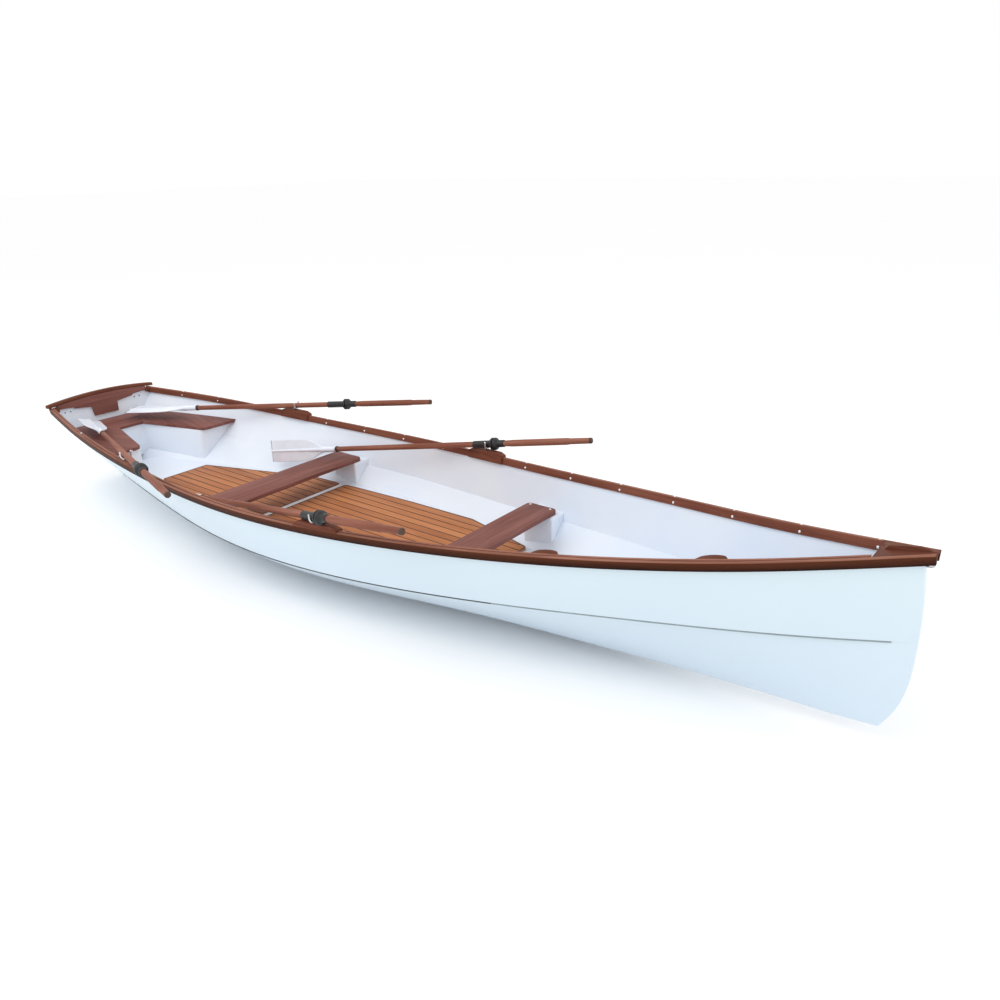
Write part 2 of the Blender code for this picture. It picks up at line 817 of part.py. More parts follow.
def on_transom(shape, depth):
    angle = math.atan(RAKE)
    up = Vector((-math.sin(angle), 0.0, math.cos(angle)))
    ahead = Vector((math.cos(angle), 0.0, math.sin(angle)))
    across = Vector((0.0, 1.0, 0.0))
    spot = Vector((SECTIONS[0], 0.0, RAKE_TOP)) + ahead * depth
    shape.matrix_world = Matrix((
        (across.x, up.x, ahead.x, spot.x),
        (across.y, up.y, ahead.y, spot.y),
        (across.z, up.z, ahead.z, spot.z),
        (0.0, 0.0, 0.0, 1.0)))
    return shape


def crown(y):
    return CAP_FOOT + CAP_CROWN * (1.0 - (y / CAP_HALF) ** 2)


CAP_STEPS = 12
cap_spots = [CAP_HALF * (1.0 - 2.0 * k / CAP_STEPS) for k in range(CAP_STEPS + 1)]
cap_outline = [(y, crown(y)) for y in cap_spots] + [(y, crown(y) + CAP_THICK) for y in reversed(cap_spots)]
finish(on_transom(plate("transom_cap", cap_outline, -CAP_DEPTH / 2, CAP_DEPTH / 2), CAP_AFT + CAP_DEPTH / 2),
       "mahogany")

# Board inside the transom: half outline of its lower edge, Y and height
BOARD_EDGE = ((0.081, 0.286), (0.086, 0.347), (0.160, 0.356), (0.198, 0.361), (0.201, 0.369), (0.302, 0.377))
lean_scale = math.hypot(1.0, RAKE)
lower = [(y, (z - RAKE_TOP) * lean_scale) for y, z in BOARD_EDGE]
board_spots = [BOARD_EDGE[-1][0] * share for share in (1, 0.67, 0.33, 0, -0.33, -0.67, -1)]
upper = [(y, crown(y) - GAP) for y in board_spots]
board_outline = [(-y, z) for y, z in reversed(lower)] + lower + upper
board_depth = TRANSOM / lean_scale + GAP + BOARD_THICK / 2
board = plate("transom_board", board_outline, -BOARD_THICK / 2, BOARD_THICK / 2)
finish(on_transom(board, board_depth), "mahogany")


# Breasthook: X, height of its middle ridge above the rails' tops
BREASTHOOK = (
    (2.352, 0.001),
    (2.364, 0.016),
    (2.380, 0.016),
    (2.455, 0.016),
    (2.478, 0.010),
    (2.492, 0.001),
    (2.530, 0.001),
)
RIDGE_HALF = 0.005
RIDGE_SHARE = 0.6
hook_rings = []
for x, rise in BREASTHOOK:
    foot, foot_height = on_rail(x, RAIL_LIP + GAP, HULL_TOP + GAP)
    deck, deck_height = on_rail(x, RAIL_LIP + GAP, RAIL_TOP)
    ridge = min(RIDGE_HALF, deck * RIDGE_SHARE)
    half = [(foot, foot_height), (deck, deck_height), (ridge, deck_height), (ridge, deck_height + rise)]
    hook_rings.append([Vector(p) for p in mirrored([(x, y, z) for y, z in half])])
finish(loft("breasthook", hook_rings), "mahogany")

# Bow eye on the stem, below the nose: points of its bar ahead of the stem and above its middle
EYE_HEIGHT = 0.588
EYE_BAR = 0.003
eye_back = stem_face(EYE_HEIGHT - 0.011 - EYE_BAR) + GAP
EYE = ((-0.0018, 0.011), (0.012, 0.011), (0.021, 0.007), (0.025, 0.0), (0.021, -0.007), (0.012, -0.011),
       (0.0, -0.011))


def tube(name, points, radius, resolution=2):
    curve = bpy.data.curves.new(name, "CURVE")
    curve.dimensions = "3D"
    curve.bevel_depth = radius
    curve.bevel_resolution = resolution
    curve.use_fill_caps = True
    line = curve.splines.new("POLY")
    line.points.add(len(points) - 1)
    for point, spot in zip(line.points, points):
        point.co = (*spot, 1.0)
    return bpy.data.objects.new(name, curve)


eye_points = [(eye_back + dx, 0.0, EYE_HEIGHT + dz) for dx, dz in EYE]
finish(tube("bow_eye", eye_points, EYE_BAR), "steel")

# Half-round pads on the starboard gunwale's inner edge
PADS = (1.289, 1.863)
PAD_HALF = 0.052
PAD_PROUD = 0.026
PAD_LEAST = 0.002
PAD_FOOT = 0.003
PAD_TOP = 0.035
PAD_STEPS = 8
for number, middle in enumerate(PADS, 1):
    rings = []
    for k in range(PAD_STEPS + 1):
        share = 2.0 * k / PAD_STEPS - 1.0
        x = middle + PAD_HALF * share
        near = STRIP_IN + GAP
        far = near + PAD_LEAST + (PAD_PROUD - PAD_LEAST) * math.sqrt(1.0 - share * share)
        section = ((near, PAD_FOOT), (far, PAD_FOOT), (far, PAD_TOP), (near, PAD_TOP))
        spots = [on_rail(x, inward, up) for inward, up in section]
        rings.append([Vector((x, -y, z)) for y, z in spots])
    finish(loft("gunwale_pad_%d" % number, rings), "mahogany")


# Rowlocks and oars

def turned(name, profile, closed=False):
    """A turned body about local Z. The profile is (radius, z) from the top down its outer side."""
    mesh = bpy.data.meshes.new(name)
    count = len(profile)
    edges = [(k, k + 1) for k in range(count - 1)]
    if closed:
        edges.append((count - 1, 0))
    mesh.from_pydata([(r, 0.0, z) for r, z in profile], edges, [])
    shape = bpy.data.objects.new(name, mesh)
    modifier = shape.modifiers.new("turn", "SCREW")
    modifier.axis = "Z"
    modifier.steps = SIDES
    modifier.render_steps = SIDES
    modifier.use_merge_vertices = True
    modifier.merge_threshold = 0.00001
    modifier.use_smooth_shade = True
    return shape


def horn_points():
    """The rowlock's bar from one tip round to the other, in local YZ."""
    middle = GAP + BAR_RADIUS + HORN_RADIUS
    points = [(0.0, -HORN_RADIUS - 0.004, middle + HORN_LEG), (0.0, -HORN_RADIUS, middle + HORN_LEG * 0.6)]
    for k in range(13):
        angle = math.pi * k / 12
        points.append((0.0, -HORN_RADIUS * math.cos(angle), middle - HORN_RADIUS * math.sin(angle)))
    points += [(0.0, HORN_RADIUS, middle + HORN_LEG * 0.6), (0.0, HORN_RADIUS + 0.004, middle + HORN_LEG)]
    return points


def rowlock(name, spot, yaw):
    horn = meshed(tube(name, horn_points(), BAR_RADIUS, 3))
    pin = as_cutter(cylinder(name + "_pin", PIN_RADIUS, -PIN_LENGTH, GAP + BAR_RADIUS, spot))
    horn.location = spot
    horn.rotation_euler = (0.0, 0.0, yaw)
    return finish(cut(horn, pin, "UNION"), "steel")


def oar_frame(spot, yaw, pitch, roll):
    """Frame whose Z runs along the oar to its handle, and whose Y lies across a flat blade."""
    turn = Matrix.Rotation(yaw, 4, "Z") @ Matrix.Rotation(math.pi / 2 - pitch, 4, "Y")
    return Matrix.Translation(spot) @ turn @ Matrix.Rotation(roll, 4, "Z")


def loom_profile(button):
    """Radius and distance from the rowlock, from the handle's end to the throat."""
    grip = button + HANDLE_LENGTH
    throat = button - SHAFT_LENGTH
    return ((0.0, grip), (0.012, grip), (0.016, grip - 0.006), (0.0155, grip - 0.100), (0.0150, grip - 0.115),
            (HANDLE_RADIUS, grip - 0.135), (HANDLE_RADIUS, button + 0.110), (LOOM_RADIUS, button + 0.075),
            (LOOM_RADIUS, button - 0.500), (THROAT_RADIUS, throat), (0.0, throat))


def sleeve_profile(button):
    """Black sleeve round the loom with its button, as a closed loop."""
    bore = LOOM_RADIUS + GAP
    head, foot = button + 0.062, button - 0.120
    return ((bore, head), (SLEEVE_RADIUS, head), (SLEEVE_RADIUS, button + 0.030), (0.022, button + 0.024),
            (BUTTON_RADIUS - 0.004, button + 0.020), (BUTTON_RADIUS, button + 0.014),
            (BUTTON_RADIUS, button + 0.006), (0.026, button + 0.004), (0.026, button + 0.001),
            (BUTTON_RADIUS, button - 0.001), (BUTTON_RADIUS, button - 0.009),
            (BUTTON_RADIUS - 0.006, button - 0.014),
            (SLEEVE_RADIUS, button - 0.018), (SLEEVE_RADIUS, foot), (bore, foot))


# Blade sections: distance from the tip, half-width, edge thickness, rib half-width, rib height
BLADE = (
    (0.000, 0.93, 0.0020, 0.007, 0.0060),
    (0.006, 1.00, 0.0022, 0.007, 0.0065),
    (0.120, 1.00, 0.0025, 0.008, 0.0080),
    (0.260, 0.98, 0.0028, 0.009, 0.0100),
    (0.310, 0.82, 0.0030, 0.010, 0.0110),
    (0.350, 0.58, 0.0035, 0.011, 0.0125),
    (0.385, 0.36, 0.0050, 0.012, 0.0140),
)
NECK = ((0.405, 0.0175), (0.440, 0.0160), (0.500, 0.0155))


def blade_rings(tip):
    rings = []
    for along, width, thick, rib, height in BLADE:
        half = BLADE_HALF * width
        quarter = ((half, thick), (rib, thick + 0.001), (rib * 0.5, height))
        top = list(quarter) + [(-y, x) for y, x in reversed(quarter)]
        ring = top + [(-y, -x) for y, x in top]
        rings.append([(x, y, tip + along) for y, x in ring])
    for along, radius in NECK:
        ring = []
        for k in range(12):
            angle = math.radians(15 + 30 * k)
            ring.append((radius * math.sin(angle), radius * math.cos(angle), tip + along))
        rings.append(ring)
    rings[-1] = [(x, y, z - GAP) for x, y, z in rings[-1]]
    return rings


# Oars: name, side, yaw, pitch, blade's roll in degrees, button ahead of the rowlock
OARS = (
    ("aft", "port", 22.8, 4.2, 4.0, 0.337),
    ("aft", "starboard", -18.9, 4.2, -18.0, 0.372),
    ("forward", "port", 9.9, 9.3, 80.0, 0.038),
    ("forward", "starboard", -6.0, 9.8, -40.0, 0.038),
)
ROWLOCK_X = {place: x for place, x, _, _ in ROWLOCKS}

for place, side, yaw, pitch, roll, button in OARS:
    label = place + "_" + side
    sign = 1 if side == "port" else -1
    spot = pin_spot(ROWLOCK_X[place], sign)
    rowlock("rowlock_" + label, spot, math.radians(yaw))
    radius = SLEEVE_RADIUS if button < 0.12 else LOOM_RADIUS
    lift = GAP + BAR_RADIUS + (BAR_RADIUS + radius + GAP) / math.cos(math.radians(pitch))
    centre = spot + Vector((0.0, 0.0, lift))
    axis = oar_frame(centre, math.radians(yaw), math.radians(pitch), math.radians(roll))
    pieces = (
        (turned("oar_loom_" + label, loom_profile(button)), "mahogany"),
        (turned("oar_sleeve_" + label, sleeve_profile(button), closed=True), "black_plastic"),
        (loft("oar_blade_" + label, blade_rings(button - SHAFT_LENGTH - BLADE_LENGTH)), "white_plastic"),
    )
    for piece, look in pieces:
        piece.matrix_world = axis
        finish(piece, look)
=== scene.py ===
import math

import bmesh
import bpy
from mathutils import Matrix, Vector


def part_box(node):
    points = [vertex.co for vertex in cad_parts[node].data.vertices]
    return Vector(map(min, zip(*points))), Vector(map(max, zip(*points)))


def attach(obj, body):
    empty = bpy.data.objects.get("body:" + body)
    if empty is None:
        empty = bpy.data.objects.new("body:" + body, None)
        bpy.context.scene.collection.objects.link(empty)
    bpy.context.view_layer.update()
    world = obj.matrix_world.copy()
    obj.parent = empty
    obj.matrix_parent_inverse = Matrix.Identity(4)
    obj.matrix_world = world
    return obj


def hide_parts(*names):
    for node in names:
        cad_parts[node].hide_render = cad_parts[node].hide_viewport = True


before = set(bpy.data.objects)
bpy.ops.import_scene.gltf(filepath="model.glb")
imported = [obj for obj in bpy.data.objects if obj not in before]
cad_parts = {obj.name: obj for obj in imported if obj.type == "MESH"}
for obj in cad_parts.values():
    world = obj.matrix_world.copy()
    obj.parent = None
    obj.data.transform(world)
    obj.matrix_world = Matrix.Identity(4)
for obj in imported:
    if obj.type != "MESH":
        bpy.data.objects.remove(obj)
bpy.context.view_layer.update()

# Sheer: station X, half-breadth and height of the rail's outer lower edge
SHEER = (
    (-2.515, 0.338, 0.357),
    (-1.911, 0.476, 0.335),
    (-1.106, 0.588, 0.306),
    (-0.250, 0.631, 0.306),
    (0.605, 0.541, 0.344),
    (1.410, 0.374, 0.419),
    (2.014, 0.193, 0.502),
    (2.517, 0.020, 0.598),
)
# Rail's lean outward: station X, degrees
LEAN = ((-2.515, 8.0), (-1.900, 13.0), (-0.250, 15.0), (0.600, 14.0), (2.517, 13.0))
# Keel: station X, height of the hull's bottom
KEEL = (
    (-2.515, -0.015),
    (-1.905, -0.061),
    (-1.295, -0.098),
    (-0.381, -0.122),
    (0.229, -0.122),
    (0.838, -0.113),
    (1.356, -0.098),
    (2.057, -0.066),
    (2.301, -0.056),
)
# Upper strake's lower edge: station X, height, distance in from the rail's outer lower edge
KNUCKLE = (
    (-2.515, 0.197, 0.150),
    (-1.500, 0.154, 0.122),
    (-0.500, 0.121, 0.060),
    (0.366, 0.129, 0.052),
    (1.030, 0.175, 0.052),
    (1.580, 0.221, 0.050),
    (2.100, 0.260, 0.044),
    (2.450, 0.300, 0.030),
)
# Bottom's fullness: station X, exponent
FULLNESS = (
    (-2.515, 0.65),
    (-1.900, 1.00),
    (-1.500, 1.50),
    (-1.000, 2.10),
    (-0.400, 2.45),
    (0.170, 2.20),
    (0.700, 1.75),
    (1.400, 1.62),
    (2.090, 1.55),
    (2.270, 1.55),
)
# Stem: height, X of its face
STEM = (
    (-0.045, 2.420),
    (0.015, 2.453),
    (0.091, 2.480),
    (0.159, 2.491),
    (0.268, 2.496),
    (0.378, 2.496),
    (0.496, 2.488),
    (0.579, 2.478),
    (0.625, 2.472),
)

# Hull, sizes as in the solids
SHELL = 0.0070
HULL_IN = 0.0113
HULL_TOP = 0.0317
BAND_FOOT = -0.012
LAP = 0.008
LAP_DROP = 0.0015
KEEL_HALF = 0.012
STEM_HALF = 0.010
STEM_TOP_HALF = 0.018
BELLY_POINTS = 26
BELLY_FINE = 240
STRAKE_BULGE = 0.08
STRAKE_SHARES = (0.12, 0.25, 0.40, 0.55, 0.70, 0.85)
STRAKE_ROW = 2 + len(STRAKE_SHARES)
# Rows of the section that stand upright enough for the plan's stretch
UPRIGHT_ROWS = 3
STEM_KNUCKLE = 0.312
RAKE = 0.12
RAKE_TOP = 0.390
RAKE_END = -2.0
STERN = -2.515
STERN_INSIDE = -2.490
FLAT_END = 2.270
HULL_STATIONS = 62
INSIDE_END = 2.380
# X of the columns that turn the last flat section into the stem
FAN = (2.292, 2.315, 2.337, 2.359, INSIDE_END, 2.405, 2.430, 2.455, None)
CROWN_START = 0.312
CROWN_END = 0.290
CROWN_STEPS = 24
CAP_HALF = 0.358
CAP_FOOT = 0.0036
CAP_CROWN = 0.026
GAP = 0.0003

# Rails, inward and up from the outer lower edge
RAIL_TOP = 0.036
RAIL_WIDTH = 0.0110
RAIL_LIP = 0.0152
STRIP_OUT = 0.0186
STRIP_IN = 0.0290
STRIP_FOOT = -0.0005
STRIP_BOW = 2.330
# The solids' nose is at X 2.530; the photo's is cut here
NOSE_CUT = 2.509

# Rowlock and oar sizes
PIN_IN = 0.0155
PIN_RADIUS = 0.006
PIN_LENGTH = 0.016
BLOCK_RISE = 0.018
BAR_RADIUS = 0.0050
HORN_RADIUS = 0.0255
HORN_LEG = 0.016
LOOM_RADIUS = 0.0155
HANDLE_RADIUS = 0.0175
THROAT_RADIUS = 0.0140
SLEEVE_RADIUS = 0.0190
BUTTON_RADIUS = 0.0325
HANDLE_LENGTH = 0.550
SHAFT_LENGTH = 1.050
BLADE_LENGTH = 0.500
BLADE_HALF = 0.066
# Oars: place, side, yaw, pitch, blade's roll in degrees, button ahead of the rowlock, pin X
OARS = (
    ("aft", "port", 22.8, 4.2, 4.0, 0.337, -1.234),
    ("aft", "starboard", -18.9, 4.2, -18.0, 0.372, -1.234),
    ("forward", "port", 9.9, 9.3, 80.0, 0.038, 0.259),
    ("forward", "starboard", -6.0, 9.8, -40.0, 0.038, 0.259),
)
SIDES = (("port", 1), ("starboard", -1))


def spline(table, column):
    """Natural cubic spline through one column of a table whose first column is X."""
    xs = [row[0] for row in table]
    ys = [row[column] for row in table]
    count = len(xs)
    lower = [0.0] * count
    right = [0.0] * count
    for i in range(1, count - 1):
        before = xs[i] - xs[i - 1]
        after = xs[i + 1] - xs[i]
        bend = 6.0 * ((ys[i + 1] - ys[i]) / after - (ys[i] - ys[i - 1]) / before)
        pivot = 2.0 * (before + after) - before * lower[i - 1]
        lower[i] = after / pivot
        right[i] = (bend - before * right[i - 1]) / pivot
    curve = [0.0] * count
    for i in range(count - 2, 0, -1):
        curve[i] = right[i] - lower[i] * curve[i + 1]

    def value(x):
        i = 0
        while i < count - 2 and x > xs[i + 1]:
            i += 1
        span = xs[i + 1] - xs[i]
        a = (xs[i + 1] - x) / span
        b = (x - xs[i]) / span
        cubic = (a ** 3 - a) * curve[i] + (b ** 3 - b) * curve[i + 1]
        return a * ys[i] + b * ys[i + 1] + cubic * span * span / 6.0

    return value


half_breadth = spline(SHEER, 1)
sheer_low = spline(SHEER, 2)
lean = spline(LEAN, 1)
keel_height = spline(KEEL, 1)
knuckle_height = spline(KNUCKLE, 1)
knuckle_inset = spline(KNUCKLE, 2)
fullness = spline(FULLNESS, 1)
stem_face = spline(STEM, 1)


def stretch(x):
    """Length of the sheer in plan for each metre of X."""
    step = 0.001
    return math.hypot(1.0, (half_breadth(x + step) - half_breadth(x - step)) / (2.0 * step))


def on_rail(x, inward, up):
    """Half-breadth and height of a spot on the leaning rail."""
    tilt = math.radians(lean(x))
    out = (up * math.sin(tilt) - inward * math.cos(tilt)) * stretch(x)
    return half_breadth(x) + out, sheer_low(x) + up * math.cos(tilt) + inward * math.sin(tilt)


def raked(x, y, z):
    """A point near the stern, leaned with the transom."""
    share = min(1.0, max(0.0, (RAKE_END - x) / (RAKE_END - STERN_INSIDE)))
    return Vector((x + RAKE * share * (RAKE_TOP - z), y, z))


def steps(start, end, count):
    return [start + (end - start) * k / count for k in range(count + 1)]


# Shader and Geometry Nodes trees written as calls

class Value:
    """A node's output that Python's own signs work on."""

    def __init__(self, tree, socket):
        self.tree = tree
        self.socket = socket

    def maths(self, operation, first, second):
        return self.tree.node("ShaderNodeMath", {"operation": operation}, {0: first, 1: second})

    def __add__(self, other):
        return self.maths("ADD", self, other)

    def __radd__(self, other):
        return self.maths("ADD", other, self)

    def __sub__(self, other):
        return self.maths("SUBTRACT", self, other)

    def __rsub__(self, other):
        return self.maths("SUBTRACT", other, self)

    def __mul__(self, other):
        return self.maths("MULTIPLY", self, other)

    def __rmul__(self, other):
        return self.maths("MULTIPLY", other, self)


class Tree:
    """A node tree written as calls, each with a type, its settings, then its values and links."""

    def __init__(self, nodes, links):
        self.nodes = nodes
        self.links = links

    def node(self, kind, settings=None, values=None, out=0):
        made = self.nodes.new(kind)
        for key, value in (settings or {}).items():
            if key == "stops":
                ramp = made.color_ramp
                while len(ramp.elements) < len(value):
                    ramp.elements.new(0.5)
                for element, (place, colour) in zip(ramp.elements, value):
                    element.position = place
                    element.color = (*colour, 1.0)
            else:
                setattr(made, key, value)
        for key, value in (values or {}).items():
            self.join(value, made.inputs[key])
        return Value(self, made.outputs[out])

    def join(self, value, socket):
        if isinstance(value, Value):
            self.links.new(value.socket, socket)
        else:
            socket.default_value = value

    def axis(self, where, name):
        return self.node("ShaderNodeSeparateXYZ", {}, {"Vector": where}, out=name)


class Finish(Tree):
    """A material on the Principled shader."""

    def __init__(self, name, **fixed):
        self.material = bpy.data.materials.new(name)
        self.material.use_nodes = True
        tree = self.material.node_tree
        super().__init__(tree.nodes, tree.links)
        self.shader = tree.nodes["Principled BSDF"]
        self.feed(**fixed)

    def feed(self, **values):
        for name, value in values.items():
            self.join(value, self.shader.inputs[name.replace("_", " ")])

    def kept(self, name, out):
        return self.node("ShaderNodeAttribute", {"attribute_name": name}, out=out)

    def place(self, scale=(1.0, 1.0, 1.0), grain=False):
        """Object coordinates, or the piece's own grain coordinates, scaled along each axis."""
        where = self.kept("grain", "Vector") if grain else self.node("ShaderNodeTexCoord", out="Object")
        return self.node("ShaderNodeMapping", {}, {"Vector": where, "Scale": scale})

    def noise(self, where, scale, detail, roughness, distortion=0.0):
        values = {"Vector": where, "Scale": scale, "Detail": detail, "Roughness": roughness,
                  "Distortion": distortion}
        return self.node("ShaderNodeTexNoise", {}, values, out="Fac")

    def ramp(self, share, *stops):
        return self.node("ShaderNodeValToRGB", {"stops": stops}, {"Fac": share}, out="Color")

    def rise(self, value, low, high):
        """From 0 to 1 as the value goes from low to high."""
        return self.node("ShaderNodeMapRange", {}, {"Value": value, "From Min": low, "From Max": high})

    def mix(self, share, first, second):
        return self.node("ShaderNodeMix", {"data_type": "RGBA"}, {0: share, 6: first, 7: second}, out=2)

    def bump(self, height, strength, distance):
        values = {"Height": height, "Strength": strength, "Distance": distance}
        return self.node("ShaderNodeBump", {}, values)


# Scales of the wood's streaks, fibre and broad tone, along and across the grain
STREAKS = (2.2, 42.0, 42.0)
FIBRE = (26.0, 420.0, 420.0)
BROAD = (1.1, 9.0, 9.0)
TEAK_STREAKS = (3.0, 55.0, 55.0)
TEAK_FIBRE = (30.0, 620.0, 620.0)
SEAM_PITCH = 0.0526
# Depths of the ripples that the bumps stand for
WOOD_DEPTH = 0.0006
SHELL_DEPTH = 0.002
PLAIN_DEPTH = 0.0004


def wood(name, dark, middle, light, gloss, coat, shade=None):
    """Varnished wood, its streaks long in the grain's own direction; shade paints light and shade into the
    colour by place.
    """
    finish = Finish(name, Coat_Weight=coat, Coat_Roughness=gloss, Specular_IOR_Level=0.08)
    streaks = finish.noise(finish.place(STREAKS, grain=True), 1.0, 6.0, 0.62, 0.6)
    fine = finish.noise(finish.place(FIBRE, grain=True), 1.0, 3.0, 0.6)
    tone = finish.noise(finish.place(BROAD, grain=True), 1.0, 2.0, 0.5, 0.4)
    share = streaks * 0.62 + fine * 0.16 + tone * 0.34 - 0.06
    colour = finish.ramp(share, (0.30, dark), (0.50, middle), (0.72, light))
    if shade:
        colour = shade(finish, colour, streaks)
    finish.feed(
        Base_Color=colour,
        Roughness=0.42 + fine * 0.22,
        Normal=finish.bump(fine * 0.6 + streaks * 0.4, 0.22, WOOD_DEPTH),
    )
    return finish.material


def rail_painted_light(finish, colour, streaks):
    """Painted light on the rail: its outer face and nose are darkened as painted shade, and its top is paler
    as a painted sheen.
    """
    section = finish.place(grain=True)
    up = finish.axis(section, "Z") * (-1.0 / RAIL_TOP)
    # Painted sheen: the rail's top is made paler
    crown = finish.rise(up, 0.90, 0.985)
    painted_sheen = finish.ramp(streaks, (0.35, (0.200, 0.078, 0.050)), (0.65, (0.340, 0.155, 0.108)))
    # Painted shade: the outer face and the nose at the bow's cut are made darker
    face = finish.rise(finish.axis(section, "Y"), -0.0030, -0.0008)
    nose = finish.rise(finish.axis(finish.place(), "X"), NOSE_CUT - 0.006, NOSE_CUT - 0.001)
    shade_mask = finish.node("ShaderNodeMath", {"operation": "MAXIMUM"}, {0: face, 1: nose})
    painted_shade = finish.ramp(up + (streaks - 0.5) * 0.9, (0.05, (0.014, 0.003, 0.001)),
                       (0.45, (0.050, 0.012, 0.004)), (0.95, (0.085, 0.024, 0.010)))
    return finish.mix(shade_mask, finish.mix(crown, colour, painted_sheen), painted_shade)


def shell_finish(name, high, shaded_low, roughness, coat, inside=None):
    """White moulded surface, a little darker low down as painted shade, with a faint orange-peel ripple."""
    finish = Finish(name, Coat_Weight=coat, Coat_Roughness=0.08, Specular_IOR_Level=0.5)
    place = finish.place()
    cloud = finish.noise(place, 3.2, 2.0, 0.5)
    ripple = finish.noise(place, 5.0, 1.0, 0.4)
    # Painted shade: the tone darkens lower down
    share = finish.axis(place, "Z") * 1.3 + 0.30 + (cloud - 0.5) * 0.45
    middle = tuple((a + b) / 2.0 for a, b in zip(high, shaded_low))
    tone = finish.ramp(share, (0.05, shaded_low), (0.45, middle), (0.95, high))
    if inside:
        pale = finish.ramp(cloud, (0.3, inside[0]), (0.7, inside[1]))
        tone = finish.mix(finish.kept("inside", "Fac"), tone, pale)
    finish.feed(
        Base_Color=tone,
        Roughness=roughness + cloud * 0.10,
        Normal=finish.bump(ripple, 0.04, SHELL_DEPTH),
    )
    return finish.material


def plain_finish(name, dark, light, roughness, metallic=0.0, scale=40.0, relief=0.15, coat=0.0,
                 stretch_x=1.0):
    """Plastic or metal with a faint change of tone and a fine ripple."""
    finish = Finish(name, Metallic=metallic, Coat_Weight=coat, Coat_Roughness=0.1)
    place = finish.place((stretch_x, 1.0, 1.0))
    cloud = finish.noise(place, scale * 0.25, 3.0, 0.5)
    fine = finish.noise(place, scale, 4.0, 0.6)
    finish.feed(
        Base_Color=finish.ramp(cloud * 0.7 + fine * 0.3, (0.35, dark), (0.65, light)),
        Roughness=roughness + fine * 0.12,
        Normal=finish.bump(fine, relief, PLAIN_DEPTH),
    )
    return finish.material


def teak_finish():
    """Oiled teak strips, each with its own tone."""
    finish = Finish("oiled_teak", Specular_IOR_Level=0.35)
    strip = finish.place((0.0, 1.0 / SEAM_PITCH, 0.0))
    streaks = finish.noise(finish.place(TEAK_STREAKS), 1.0, 5.0, 0.6, 0.4)
    fine = finish.noise(finish.place(TEAK_FIBRE), 1.0, 3.0, 0.6)
    whole = finish.node("ShaderNodeVectorMath", {"operation": "FLOOR"}, {0: strip}, out="Vector")
    tone = finish.node("ShaderNodeTexWhiteNoise", {"noise_dimensions": "3D"}, {"Vector": whole}, out="Value")
    share = streaks * 0.55 + fine * 0.22 + tone * 0.20 + 0.02
    finish.feed(
        Base_Color=finish.ramp(share, (0.30, (0.28, 0.085, 0.026)), (0.52, (0.46, 0.165, 0.052)),
                               (0.75, (0.60, 0.245, 0.090))),
        Roughness=0.46 + fine * 0.25,
        Normal=finish.bump(fine * 0.7 + streaks * 0.3, 0.30, WOOD_DEPTH),
    )
    return finish.material


# Each shell finish's second colour is the painted shade low down
GELCOAT = shell_finish("gelcoat_outside", (0.63, 0.745, 0.81), (0.595, 0.70, 0.82), 0.25, 0.15,
                       inside=((0.76, 0.83, 0.93), (0.82, 0.87, 0.94)))
MOULDING = shell_finish("moulded_inside", (0.82, 0.87, 0.94), (0.78, 0.84, 0.93), 0.40, 0.06)
RIB_WHITE = shell_finish("rib_white", (0.95, 0.96, 0.98), (0.93, 0.94, 0.97), 0.40, 0.1)
# Rail mahogany, with painted shade on its outer face and nose and a painted sheen on its top
RAIL_WOOD = wood("rail_mahogany", (0.095, 0.027, 0.014), (0.175, 0.058, 0.036), (0.250, 0.092, 0.058),
                 0.20, 0.02, shade=rail_painted_light)
TRIM_WOOD = wood("trim_mahogany", (0.065, 0.018, 0.009), (0.140, 0.044, 0.026), (0.220, 0.080, 0.048),
                 0.20, 0.03)
BOARD_WOOD = wood("board_mahogany", (0.120, 0.041, 0.031), (0.205, 0.081, 0.066), (0.290, 0.130, 0.108),
                  0.22, 0.05)
LOOM_WOOD = wood("loom_mahogany", (0.130, 0.040, 0.022), (0.245, 0.090, 0.058), (0.370, 0.165, 0.112),
                 0.18, 0.05)
TEAK = teak_finish()
CAULK = plain_finish("seam_caulk", (0.026, 0.008, 0.003), (0.055, 0.017, 0.007), 0.60)
MARGIN = plain_finish("margin_wood", (0.090, 0.036, 0.022), (0.170, 0.070, 0.042), 0.55, stretch_x=0.1)
# Painted shadow under the upper strake's lap: dark, and paler towards the bow
LAP_SHADOW = plain_finish("lap_sealant", (0.035, 0.045, 0.044), (0.070, 0.085, 0.085), 0.55)
LAP_SHADOW_PALE = plain_finish("lap_gelcoat", (0.20, 0.25, 0.26), (0.28, 0.34, 0.36), 0.45)
SLEEVE = plain_finish("sleeve_plastic", (0.006, 0.006, 0.007), (0.016, 0.016, 0.018), 0.42, scale=220.0)
BLADE_WHITE = plain_finish("blade_plastic", (0.74, 0.78, 0.88), (0.82, 0.86, 0.94), 0.30, coat=0.2)
STEEL = plain_finish("polished_steel", (0.55, 0.55, 0.56), (0.74, 0.74, 0.75), 0.16, 1.0, 160.0, 0.06)
SCREW_STEEL = plain_finish("screw_steel", (0.80, 0.80, 0.80), (0.95, 0.95, 0.95), 0.30, 1.0, 300.0, 0.05)
# Painted shade inside the transom's holes, as near-black discs
HOLE_SHADE = plain_finish("dark_recess", (0.010, 0.008, 0.008), (0.024, 0.020, 0.020), 0.7)
GRIP_END = plain_finish("grip_end", (0.045, 0.020, 0.012), (0.100, 0.048, 0.028), 0.55, scale=120.0)


